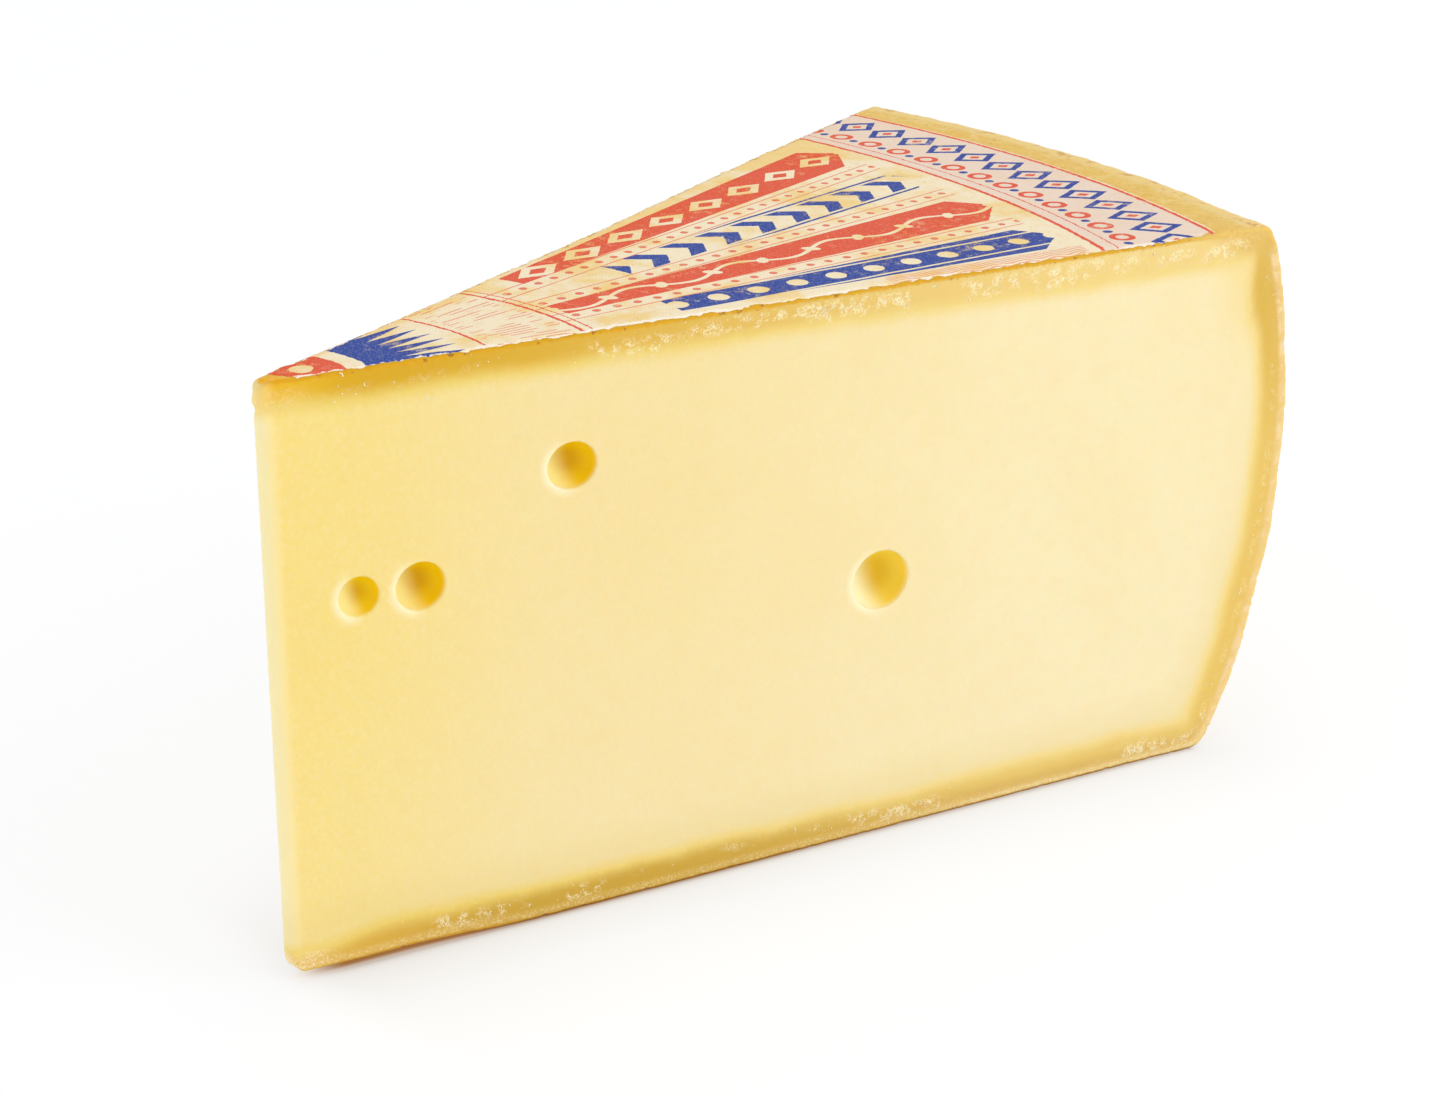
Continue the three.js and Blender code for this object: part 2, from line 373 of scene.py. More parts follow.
def wedge_distance(points):
    """Distance out of the wedge, and the depths below its rind and behind its cuts."""
    x, y, z = points.T
    cuts = cut_distance(x, y)
    flat, corners = flat_distances(x, z)
    rind = smooth_max(flat, side_distance(x, y, z), RIM_ROUND)
    edge = EDGE_ROUND + NOSE_EDGE_ROUND * fade(x, NOSE_EDGE_REACH)
    body = np.maximum(smooth_max(cuts, rind, edge), corners)
    for eye in EYES:
        body = smooth_max(body, -eye_distance(points, eye), EYE_LIP)
    return body, -rind, -cuts


def wedge_slope(points):
    """The direction in which the distance out of the wedge grows, at its own rate."""
    reach = 0.05
    slope = np.empty_like(points)
    for axis in range(3):
        step = np.zeros(3)
        step[axis] = reach
        ahead, behind = wedge_distance(points + step)[0], wedge_distance(points - step)[0]
        slope[:, axis] = (ahead - behind) / (2 * reach)
    return slope


def inside_box(points):
    """Points of the frame, in metres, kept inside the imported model's box."""
    low, high = (np.array(corner) for corner in CAD_BOX)
    return np.clip(points, low, high)


def settle(points, rounds=2):
    """Moves points onto the wedge's surface, along its slope."""
    for _ in range(rounds):
        slope = wedge_slope(points)
        steep = np.maximum((slope**2).sum(axis=1), 0.2)
        points = points - slope * (wedge_distance(points)[0] / steep)[:, None]
    return points


# ---------------------------------------------------------------------------------------------
# Mesh helpers
# ---------------------------------------------------------------------------------------------


def add_object(name, data):
    """An object in the scene with that mesh, lamp or camera."""
    made = bpy.data.objects.new(name, data)
    bpy.context.scene.collection.objects.link(made)
    return made


def add_mesh(name, points, faces):
    """A smooth mesh object from points in the frame, in metres, and lists of corners."""
    mesh = bpy.data.meshes.new(name)
    mesh.from_pydata(points.tolist(), [], faces.tolist())
    mesh.polygons.foreach_set("use_smooth", np.ones(len(faces), bool))
    mesh.update()
    return add_object(name, mesh)


def evaluated_mesh(made):
    """A new mesh of what an object's modifiers make."""
    return bpy.data.meshes.new_from_object(
        made.evaluated_get(bpy.context.evaluated_depsgraph_get())
    )


def places_of(mesh):
    """The places of a mesh's vertices."""
    places = np.empty(len(mesh.vertices) * 3)
    mesh.vertices.foreach_get("co", places)
    return places.reshape(-1, 3)


def set_attribute(mesh, name, values, kind="FLOAT"):
    """Stores a value for each vertex."""
    field = "vector" if kind == "FLOAT_VECTOR" else "value"
    attribute = mesh.attributes.new(name, kind, "POINT")
    attribute.data.foreach_set(field, np.ascontiguousarray(values, np.float32).ravel())


def even_triangles(cell):
    """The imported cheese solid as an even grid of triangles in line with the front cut."""
    turn = Matrix.Rotation(HALF_ANGLE, 4, "Z")
    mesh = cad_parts["cheese"].data.copy()
    merged = bmesh.new()
    merged.from_mesh(mesh)
    bmesh.ops.remove_doubles(merged, verts=merged.verts, dist=0.01 * MM)
    merged.to_mesh(mesh)
    merged.free()
    mesh.transform(turn)
    source = add_object("grid_source", mesh)
    grid = source.modifiers.new("Grid", "REMESH")
    grid.mode = "VOXEL"
    grid.voxel_size = cell
    quads = evaluated_mesh(source)
    quads.transform(turn.inverted())
    points = places_of(quads)
    quads.calc_loop_triangles()
    corners = np.empty(len(quads.loop_triangles) * 3, np.int32)
    quads.loop_triangles.foreach_get("vertices", corners)
    bpy.data.objects.remove(source)
    bpy.data.meshes.remove(quads)
    bpy.data.meshes.remove(mesh)
    return from_frame(points), corners.reshape(-1, 3).astype(np.int64)


def edges_of(faces, count):
    """The mesh's edges once each, and for each triangle the numbers of its three edges."""
    pairs = np.sort(faces[:, [0, 1, 1, 2, 2, 0]].reshape(-1, 2), axis=1)
    keys, numbers = np.unique(pairs[:, 0] * count + pairs[:, 1], return_inverse=True)
    return np.stack([keys // count, keys % count], axis=1), numbers.reshape(-1, 3)


def rolled(rows, shift):
    """Each row of three turned on by its own shift."""
    return np.take_along_axis(rows, (np.arange(3) + shift[:, None]) % 3, axis=1)


def split_long_edges(points, faces, longest):
    """Halves each edge that is longer than it may be where it lies, and its triangles with it."""
    edges, numbers = edges_of(faces, len(points))
    ends = points[edges]
    middles = ends.mean(axis=1)
    split = np.linalg.norm(ends[:, 0] - ends[:, 1], axis=1) > longest(middles)
    middle = np.where(split, len(points) + np.cumsum(split) - 1, -1)[numbers]
    parts = (middle >= 0).sum(axis=1)
    made = [faces[parts == 0]]
    one = parts == 1
    shift = np.argmax(middle[one] >= 0, axis=1)
    a, b, c = rolled(faces[one], shift).T
    m = rolled(middle[one], shift)[:, 0]
    made += [np.stack(t, axis=1) for t in ((a, m, c), (m, b, c))]
    two = parts == 2
    shift = (np.argmax(middle[two] < 0, axis=1) + 1) % 3
    a, b, c = rolled(faces[two], shift).T
    m, n, _ = rolled(middle[two], shift).T
    made += [np.stack(t, axis=1) for t in ((m, b, n), (a, m, n), (a, n, c))]
    three = parts == 3
    a, b, c = faces[three].T
    m, n, o = middle[three].T
    made += [np.stack(t, axis=1) for t in ((a, m, o), (m, b, n), (o, n, c), (m, n, o))]
    return np.vstack([points, middles[split]]), np.vstack(made)


def relax(points, faces, rounds):
    """Evens the triangles out within the surface."""
    edges = edges_of(faces, len(points))[0]
    starts, ends = np.concatenate([edges, edges[:, ::-1]]).T
    count = np.bincount(starts, minlength=len(points))[:, None]
    for _ in range(rounds):
        total = [np.bincount(starts, points[ends, axis], len(points)) for axis in range(3)]
        shift = np.stack(total, axis=1) / count - points
        slope = wedge_slope(points)
        outward = slope / np.maximum(np.linalg.norm(slope, axis=1), 1e-6)[:, None]
        shift -= outward * (shift * outward).sum(axis=1)[:, None]
        points = settle(points + 0.6 * shift, rounds=1)
    return points


# ---------------------------------------------------------------------------------------------
# The cheese
# ---------------------------------------------------------------------------------------------


def longest_edge(cell):
    """The longest edge allowed at a place: fine along the rind and in the eyes, coarse elsewhere."""

    def longest(points):
        """The longest edge at each point, in millimetres."""
        _, below_rind, behind_cut = wedge_distance(points)
        x, y, z = points.T
        eyes = np.min([eye_distance(points, eye) for eye in EYES], axis=0)
        edge = np.maximum(below_rind, behind_cut)
        heel = -side_distance(x, y, z)
        in_front = x * FRONT_OUT[0] + y * FRONT_OUT[1] > -3
        nose = np.hypot(x - NOSE_CENTRE[0], y - NOSE_CENTRE[1]) < NOSE_RADIUS + 1
        lips = np.abs(eyes) < 0.4
        fine = ((edge < 2) & in_front) | (eyes < 0.5) | nose
        edges = edge < 1.6
        middling = (edge < 6.5) | (eyes < 1.6) | (heel < 2) | ((heel < 22) & (z > HEIGHT - 3))
        under = (z < 1) & (edge > 3)
        share = np.select([under, lips, fine, edges, middling], [1.6, 0.18, 0.26, 0.36, 0.64], 1.6)
        return share * cell

    return longest


def rind_relief(points):
    """The wheel's pressed side, as low dents and bands round it."""
    x, y, z = points.T
    angle = -np.arctan2(y - WHEEL_CENTRE[1], x - WHEEL_CENTRE[0])
    fade = np.sin(math.pi * np.clip(z / HEIGHT, 0, 1))
    dents = 0.35 * np.sin(41 * angle + 0.06 * z) + 0.25 * np.sin(73 * angle - 0.11 * z)
    bands = 0.2 * np.sin(0.21 * z + 2 * np.sin(23 * angle))
    return fade * (dents + bands)


def surface_relief(points, below_rind, behind_cut):
    """How far the real surface stands out from the smooth wedge."""
    x, y, z = points.T
    broad = cloud(points, 26, 2)
    middling = cloud(points, 5.5, 3)
    fine = cloud(points, 1.5, 3)
    on_side = smooth_step(-side_distance(x, y, z), 2.5, 0.5)
    on_side *= smooth_step(behind_cut, -0.5, 0.6)
    on_rind = smooth_step(behind_cut - below_rind, -0.4, 0.4)
    on_top = on_rind * smooth_step(z, HEIGHT - 3, HEIGHT - 1) * (1 - on_side)
    under_label = on_top * smooth_step(-side_distance(x, y, z), 17.5, 21)
    band = (1 - on_rind) * fade(below_rind, 2.2)
    relief = 0.08 * broad * (1 - on_rind)
    relief += band * (0.14 * middling + 0.12 * fine)
    relief += on_side * (rind_relief(points) + 0.18 * middling + 0.05 * fine)
    relief += on_side * 0.45 * smooth_step(behind_cut, 14, 1) * (y < 0)
    relief += (on_top - under_label) * (0.12 * middling + 0.06 * fine)
    # The skin of the rind breaks in small chips along the cuts and along the rim
    corner = bell(np.maximum(below_rind, behind_cut), 0, 0.8)
    chips = np.clip(cloud(points, 2.6, 2) - 0.15, 0, None)
    relief -= corner * 0.6 * chips
    rim = bell(z, HEIGHT - 2.5, 2.2) * on_side
    relief -= rim * 0.8 * np.clip(cloud(points + 40, 4.2, 3) - 0.25, 0, None)
    # The cap of the rind stands a little proud of the paste round the nose
    at_nose = fade(np.hypot(x - NOSE_CENTRE[0], y - NOSE_CENTRE[1]) - 3, 3)
    relief += 0.26 * at_nose * bell(z, HEIGHT - 3.7, 0.8)
    relief -= 0.25 * at_nose * bell(z, HEIGHT - 5.3, 0.9)
    relief -= 0.6 * under_label * np.maximum(relief, 0)
    return np.where(under_label > 0.5, np.minimum(relief, 0), relief)


def flaky_places(points, below_rind, behind_cut):
    """Where the paste's dry surface flakes, from 0 to 1, and how many crumbs cling there."""
    x, y, z = points.T
    on_cut = smooth_step(below_rind - behind_cut, 0.3, 0.8) * smooth_step(behind_cut, 0.6, 0.2)
    patches = smooth_step(cloud(points * [0.5, 0.5, 1], 7, 2), -0.5, 0.3)
    wisps = smooth_step(cloud(points * [1, 1, 2.2], 2.4, 2), -0.1, 0.25)
    upper = smooth_step(z, HEIGHT - 9, HEIGHT - 8) * smooth_step(x, 46, 80) * smooth_step(x, 214, 196)
    sparse = 0.25 * smooth_step(z, HEIGHT - 7, HEIGHT - 6)
    corner = 0.35 * smooth_step(z, HEIGHT - 9, HEIGHT - 8) * smooth_step(x, 12, 5)
    foot = smooth_step(z, 8, 7)
    low_corner = 0.6 * smooth_step(z, 9, 8) * smooth_step(x, 14, 6)
    heel = smooth_step(-side_distance(x, y, z), 7, 3.5)
    band = bell(below_rind, 3.4, 2.0)
    amount = np.maximum.reduce([upper, sparse, corner, 0.55 * foot, low_corner, 0.3 * heel])
    heel_edge = 0.3 * heel * bell(below_rind, 1.2, 1.2)
    heel_edge *= smooth_step(z, 50, 75) * smooth_step(z, 110, 98)
    flaky = on_cut * np.maximum(band * amount * np.maximum(patches, 0.15), heel_edge)
    return flaky, flaky * np.maximum(wisps, 0.04)


def build_body(settings):
    """The dressed cheese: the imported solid's form with soft edges, eyes and the rind's relief."""
    cell = settings.cell / MM
    points, faces = even_triangles(settings.cell)
    points = relax(settle(points, rounds=4), faces, 4)
    for _ in range(4):
        points, faces = split_long_edges(points, faces, longest_edge(cell))
        points = relax(settle(points), faces, 2)
    _, below_rind, behind_cut = wedge_distance(points)
    slope = wedge_slope(points)
    outward = slope / np.linalg.norm(slope, axis=1)[:, None]
    flaky, crumbly = flaky_places(points, below_rind, behind_cut)
    from_centre = points[:, :2] - WHEEL_CENTRE
    values = {
        "below_rind": below_rind,
        "behind_cut": behind_cut,
        "behind_heel": -side_distance(*points.T),
        "wheel_radius": np.hypot(*from_centre.T),
        "wheel_run": HEEL_RADIUS * np.arctan2(from_centre[:, 1], from_centre[:, 0]),
        "flaky": flaky,
        "crumble": crumbly,
    }
    eye_at = eye_places(points)
    points = points + outward * surface_relief(points, below_rind, behind_cut)[:, None]
    points[:, 2] = np.maximum(points[:, 2], 0)
    body = add_mesh("cheese_body", inside_box(to_frame(points)), faces)
    for name, value in values.items():
        set_attribute(body.data, name, value)
    set_attribute(body.data, "eye_at", eye_at, "FLOAT_VECTOR")
    return body


# ---------------------------------------------------------------------------------------------
# Materials
# ---------------------------------------------------------------------------------------------

# Tones of the cut paste
LOW_PASTE = linear(243, 229, 192)
PASTE_SPECKS = linear(252, 240, 212)
PASTE_CLOUDS = linear(240, 212, 130)
PASTE_PATCHES = linear(240, 210, 124)
# Painted sheen: paste paler on the nose's round
NOSE_PAINTED_SHEEN = linear(253, 240, 196)
FOOT_PASTE = linear(231, 208, 134)
HEEL_GLOW = linear(244, 215, 126)

# Tones of the ripe band inside the rind
NOSE_FOOT_BAND = linear(222, 177, 70)
FAR_FOOT_BAND = linear(231, 198, 108)
FAR_FOOT_EDGE = linear(222, 184, 98)
NOSE_TOP_BAND = linear(233, 184, 30)
FAR_TOP_BAND = linear(241, 211, 133)
CORNER_BAND = linear(224, 184, 88)
HIGH_HEEL_BAND = linear(222, 183, 80)
NOSE_INNER_BAND = linear(237, 208, 106)
HEEL_INNER_BAND = linear(242, 216, 136)
# Painted sheen: the ripe band paler on the nose's round, at its top and on its far side
NOSE_CAP_PAINTED_SHEEN = linear(250, 226, 150)
NOSE_SIDE_PAINTED_SHEEN = linear(246, 224, 166)

# Tones of the dry edge and of the skin
DRY_FOOT = linear(248, 226, 166)
DRY_HEEL = linear(241, 214, 162)
FROST = linear(250, 231, 182)
# Pale dry flakes with painted glints
FLAKES_AND_GLINTS = linear(255, 244, 206)
FOOT_SKIN = linear(208, 156, 44)
NOSE_SKIN = linear(240, 202, 104)
FAR_SKIN = linear(243, 206, 112)
SKIN_SPECKS = linear(150, 92, 28)

# Tones of the rind and of the eyes
SIDE_RIND = linear(230, 188, 98)
DEEP_RIND = linear(232, 166, 8)
RIM_DASHES = linear(212, 152, 56)
RIND_PITS = linear(160, 96, 30)
SIDE_LINE = linear(206, 148, 58)
# Brown crust and painted contact shadow along the foot's lowest edge
FOOT_CRUST_AND_SHADOW = linear(142, 92, 30)
# Painted light in the eyes: paler rims and upper walls, and pale lit walls at the heel
NOSE_EYE_RIM_PAINTED_LIGHT = linear(245, 205, 12)
HEEL_EYE_RIM_PAINTED_LIGHT = linear(250, 216, 74)
HEEL_EYE_PAINTED_LIGHT = linear(255, 248, 206)
# Painted glow round the lower lip of an eye
EYE_LIP_PAINTED_GLOW = linear(255, 246, 212)

# Tones of the paper, the crumbs and the floor
PAPER_CLOUDS = linear(246, 197, 128)
PAPER_FIBRES = linear(255, 240, 214)
PAPER_SPECKS = linear(214, 160, 96)
TORN_PAPER = linear(255, 247, 230)
DARK_CRUMBS = linear(246, 216, 148)
FLOOR_GREY = linear(124, 124, 124)
COOL_LIGHT = (0.988, 0.992, 1, 1)
# Tints of the floor's painted shadows: warm for the wide shade, browner for the contact shade, dark
# brown under the foot
WIDE_SHADOW_TINT = (1, 0.975, 0.955, 1)
CONTACT_SHADOW_TINT = (1, 0.8, 0.6, 1)
FOOT_GAP_SHADOW = (0.31, 0.125, 0.025, 1)

# Pitches of the pressing cloth and of the paper's weave, in millimetres
CLOTH_PITCH = 2.1
PAPER_PITCH = 0.9

# The print: where the rays end, and the middles and pitch of the ring's two rows
RAY_TIP = INNER_RING - 4
RING_PITCH = 2.2
LOZENGE_ROW = 249.6
SPOT_ROW = 239.5


class Wire:
    """An output of a node, which plain sums and comparisons can be written with."""

    def __init__(self, nodes, node, output=0):
        self.nodes = nodes
        self.node = node
        self.output = output

    def __getitem__(self, output):
        """Another output of the same node."""
        return Wire(self.nodes, self.node, output)

    def __add__(self, other):
        return self.nodes.math("ADD", self, other)

    def __sub__(self, other):
        return self.nodes.math("SUBTRACT", self, other)

    def __rsub__(self, other):
        return self.nodes.math("SUBTRACT", other, self)

    def __mul__(self, other):
        return self.nodes.math("MULTIPLY", self, other)

    def __truediv__(self, other):
        return self.nodes.math("DIVIDE", self, other)

    def __abs__(self):
        return self.nodes.math("ABSOLUTE", self)

    def __lt__(self, other):
        return self.nodes.math("LESS_THAN", self, other)

    def __gt__(self, other):
        return self.nodes.math("GREATER_THAN", self, other)

    __radd__ = __add__
    __rmul__ = __mul__


class Nodes:
    """A node tree, built by short calls that take numbers, colours or wires."""

    def __init__(self, node_tree):
        self.node_tree = node_tree

    def join(self, wire, socket):
        """Joins a wire to an input."""
        self.node_tree.links.new(wire.node.outputs[wire.output], socket)

    def node(self, kind, inputs=None, **settings):
        """A node with its settings, and its inputs set or joined, as a wire from its first output."""
        made = self.node_tree.nodes.new(kind)
        for key, value in settings.items():
            setattr(made, key, value)
        for key, value in (inputs or {}).items():
            if isinstance(value, Wire):
                self.join(value, made.inputs[key])
            else:
                made.inputs[key].default_value = value
        return Wire(self, made)

    def math(self, operation, *values):
        """One sum on numbers."""
        return self.node("ShaderNodeMath", dict(enumerate(values)), operation=operation)


class Shader(Nodes):
    """A material's nodes."""

    def __init__(self, name):
        self.material = bpy.data.materials.new(name)
        self.material.use_nodes = True
        super().__init__(self.material.node_tree)
        self.node_tree.nodes.clear()

    def most(self, *values):
        """The largest of the values."""
        return functools.reduce(functools.partial(self.math, "MAXIMUM"), values)

    def rise(self, value, low, high):
        """0 at low and 1 at high, smooth between, for low above high too."""
        inputs = {"Value": value, "From Min": low, "From Max": high}
        return self.node("ShaderNodeMapRange", inputs, interpolation_type="SMOOTHSTEP")

    def mix(self, share, first, second):
        """A mix of two colours, by the share of the second."""
        return self.node("ShaderNodeMix", {0: share, 6: first, 7: second}, data_type="RGBA")[2]

    def layered(self, colour, *layers):
        """A colour with others laid over it, each given as its share and its colour."""
        for share, layer in layers:
            colour = self.mix(share, colour, layer)
        return colour

    def millimetres(self):
        """The place on the object, in millimetres in its frame."""
        inputs = {0: self.node("ShaderNodeTexCoord")["Object"], "Scale": 1 / MM}
        return self.node("ShaderNodeVectorMath", inputs, operation="SCALE")

    def stretched(self, vector, scale):
        """A vector stretched along each axis."""
        return self.node("ShaderNodeMapping", {"Vector": vector, "Scale": scale})

    def parts(self, vector):
        """A vector's three numbers."""
        whole = self.node("ShaderNodeSeparateXYZ", {0: vector})
        return [whole[axis] for axis in range(3)]

    def noise(self, vector, size, detail=3.0, roughness=0.5, distortion=0.0):
        """Smooth noise with features of about that size in the vector's unit."""
        inputs = {
            "Vector": vector,
            "Scale": 1 / size,
            "Detail": detail,
            "Roughness": roughness,
            "Distortion": distortion,
        }
        return self.node("ShaderNodeTexNoise", inputs)["Fac"]

    def attribute(self, name, output="Fac"):
        """A value stored on the mesh."""
        return self.node("ShaderNodeAttribute", attribute_name=name)[output]

    def bump(self, height, distance, strength):
        """Relief of the shading, its distance in millimetres."""
        inputs = {"Height": height, "Distance": distance * MM, "Strength": strength}
        return self.node("ShaderNodeBump", inputs)

    def finish(self, **inputs):
        """The surface shader, with underscores for the spaces in its inputs' names."""
        named = {key.replace("_", " "): value for key, value in inputs.items()}
        surface = self.node("ShaderNodeBsdfPrincipled", named)
        self.node("ShaderNodeOutputMaterial", {"Surface": surface})
        return self.material


class CheeseShader(Shader):
    """The cheese's nodes, with the places, noises and zones that its layers share.

    Places are millimetres of the frame: x runs from -122.5 at the nose to 122.5 at the heel, and z
    from 0 at the foot to HEIGHT.
    """

    def __init__(self):
        super().__init__("Cheese")
        self.place = self.millimetres()
        self.x, self.y, self.z = self.parts(self.place)
        self.below, self.behind = self.attribute("below_rind"), self.attribute("behind_cut")
        self.behind_heel = self.attribute("behind_heel")
        self.mottle = self.noise(self.place, 1.0, 3, 0.6)
        self.tufts = self.noise(self.place, 5, 3, 0.65, 0.6)
        self.high = self.rise(self.z, 22, 95)
        self.low = 1 - self.high
        self.nose = self.rise(self.x, -119.4, -123.2)
        from_flat = self.math("MINIMUM", self.z, HEIGHT - self.z)
        self.heel_band = self.rise(from_flat - self.behind_heel, -2.0, 7.0)
        self.far_end = self.most(self.heel_band, self.rise(self.x, 60, 78))
        self.on_rind = self.rise(self.behind - self.below, 0.1, 0.9)


def paste_colour(s, settings):
    """Cut paste, deeper yellow towards the nose, with a painted sheen that makes it paler on the nose
    itself.
    """
    x, z = s.x, s.z
    return s.layered(
        settings.paste_nose,
        (s.rise(x, -122, -62), settings.paste_middle),
        (s.rise(x, -60, 45), settings.paste_heel),
        (s.rise(z, 75, 12) * (0.12 * s.rise(x, -125, -60) + 0.1), LOW_PASTE),
        (0.18 * s.rise(s.mottle, 0.35, 0.8), PASTE_SPECKS),
        (0.12 * s.rise(s.noise(s.place, 3.4, 3), 0.35, 0.75), PASTE_CLOUDS),
        (0.1 * s.rise(s.noise(s.place, 30, 2), 0.4, 0.7), PASTE_PATCHES),
        # Painted sheen on the nose's round
        (0.8 * s.nose, NOSE_PAINTED_SHEEN),
        (0.3 * s.rise(s.below, 18, 8) * s.low, FOOT_PASTE),
        (0.55 * s.rise(s.behind_heel, 20, 8) * s.rise(z, 82, 106), HEEL_GLOW),
    )


def ripeness(s):
    """How ripe the paste is, in a band that is wider at the heel and narrower at the nose."""
    x = s.x
    depth = s.below + 2.2 * (s.noise(s.place, 11, 2) - 0.5) + 0.8 * (s.mottle - 0.5)
    narrow = s.rise(x, -104, -118) * (0.7 * s.high - 1.6)
    foot_wider = s.low * (0.8 * s.rise(x, -102, -68) + 0.7 - 0.7 * s.rise(x, -50, 10))
    heel_wider = s.heel_band * (1.7 * s.rise(s.z, 70, 110) + 0.6)
    wider = 1.1 * s.rise(x, -60, 60) + heel_wider + foot_wider + narrow
    return s.rise(depth - wider, 9.3, 1.5)


def band_colour(s, settings):
    """The ripe band, golden under the top rind, browner over the foot, paler towards the heel."""
    x = s.x
    far_foot = s.mix(s.rise(s.below, 2.5, 5.0), FAR_FOOT_EDGE, FAR_FOOT_BAND)
    foot = s.layered(
        NOSE_FOOT_BAND,
        (s.rise(x, -114, -76), settings.band_foot),
        (s.rise(x, -60, 40), far_foot),
    )
    top = s.layered(
        NOSE_TOP_BAND,
        (s.rise(x, -118, -104), settings.band_top),
        (s.rise(x, -112, 62), FAR_TOP_BAND),
        (0.8 * s.rise(s.behind_heel, 14, 6), CORNER_BAND),
    )
    heel = s.mix(s.rise(s.z, 60, 100), settings.band_heel, HIGH_HEEL_BAND)
    return s.layered(foot, (s.high, top), (s.heel_band, heel))


def with_dry_edges(s, colour):
    """A colour with the dry pale edge, the frosted corners of the nose and winding flakes, whose pale
    lines are partly painted glints.
    """
    x, z, below = s.x, s.z, s.below
    speck = s.rise(s.noise(s.place, 0.5, 3, 0.7), 0.47, 0.62)
    patch = s.rise(s.tufts, 0.42, 0.62)
    foot_edge = s.rise(z, 16, 4) * s.rise(below, 2.8, 1.4) * s.rise(below, 0.4, 0.9)
    foot_edge = foot_edge * (0.45 * speck + 0.12)
    far_line = s.rise(z, 16, 4) * s.rise(x, -30, 40) * s.rise(below, 2.1, 1.2)
    far_line = far_line * s.rise(below, 0.2, 0.5) * (0.45 * speck + 0.46)
    far_edge = s.rise(below, 5.0 - 2.8 * s.low, 1.2 - 0.7 * s.low) * s.rise(x, -50, 60)
    flecked = far_edge * (0.25 * patch + 0.08) * (0.8 * speck + 0.2)
    heel_edge = s.heel_band * s.rise(below, 2.5, 1.2) * s.rise(z, 113, 108)
    heel_edge = heel_edge * (0.5 * patch + 0.4) * (0.15 * s.rise(z, 70, 100) + 1.0)
    dry_tone = s.mix(s.heel_band, DRY_FOOT, DRY_HEEL)
    top_frost = s.rise(x, -112, -119) * s.high * s.rise(below, 0.9, 2.0) * s.rise(below, 6.2, 3.8)
    foot_frost = s.rise(x, -112, -120) * s.low * s.rise(below, 0.6, 1.4) * s.rise(below, 5.2, 3.2)

    def glinting_lace(size):
        """Thin winding lines: pale flakes with painted glints on them."""
        return s.rise(abs(s.noise(s.place, size, 1, 0.5, 1.3) - 0.5), 0.045, 0.02)

    broken = s.rise(s.noise(s.place, 2.4, 2), 0.44, 0.55)
    # Pale dry flakes, partly painted glints of light on them
    flakes = s.most(glinting_lace(1.7), glinting_lace(0.9)) * broken * s.rise(s.attribute("flaky"), 0.12, 0.5)
    return s.layered(
        colour,
        (s.most(foot_edge, far_line, flecked, heel_edge), dry_tone),
        ((0.35 * top_frost + foot_frost) * (0.6 * speck + 0.2), FROST),
        (0.7 * flakes, FLAKES_AND_GLINTS),
    )


def skin_colour(s, settings):
    """The rind's thin skin, paler low on the nose and at the dry far end, with dark specks."""
    return s.layered(
        settings.skin,
        (0.8 * s.rise(s.z, 12, 4), FOOT_SKIN),
        (0.7 * s.rise(s.x, -114, -119) * s.low, NOSE_SKIN),
        (0.8 * s.far_end, FAR_SKIN),
        (0.75 * s.rise(s.noise(s.place, 1.5, 2), 0.6, 0.66) * s.rise(s.z, 100, 108), SKIN_SPECKS),
    )


def rind_colour(s, settings, skin):
    """The rind, gold in soft blotches, paler towards the outer edge, with a little bloom."""
    z, behind = s.z, s.behind
    wheel_radius = s.attribute("wheel_radius")
    side = s.rise(s.behind_heel, 3.5, 1.0)
    blotch = s.noise(s.place, 9, 4, 0.62) + 0.07 * s.rise(wheel_radius, 267, 259)
    rim = s.rise(wheel_radius, 265.5, 268.6) * s.rise(z, 104, 109)
    dashes = s.rise(wheel_radius, 267.8, 269.2) * s.rise(z, 106, 111) * s.rise(s.tufts, 0.56, 0.6)
    pits = s.rise(s.noise(s.place, 1.6, 2, 0.5), 0.68, 0.76)
    side_line = s.rise(behind, 1.8, 0.9) * s.rise(s.behind_heel, 1.5, 0.4)
    side_line = side_line * s.rise(s.mottle, 0.38, 0.48) * s.rise(z, 108, 100)
    return s.layered(
        settings.rind,
        (s.rise(blotch, 0.41, 0.57) * (0.95 - 0.6 * side), settings.rind_dark),
        (0.5 * side, SIDE_RIND),
        (0.5 * s.rise(s.tufts, 0.5, 0.66), settings.bloom),
        (0.35 * s.rise(s.mottle, 0.5, 0.66), settings.bloom),
        (0.3 * s.rise(s.mottle, 0.46, 0.34), DEEP_RIND),
        (0.6 * rim, settings.bloom),
        (0.7 * dashes, RIM_DASHES),
        (0.5 * pits, RIND_PITS),
        (s.rise(behind, 1.3, 0.5) * (0.8 - 0.5 * s.far_end), skin),
        (0.8 * side_line, SIDE_LINE),
    )


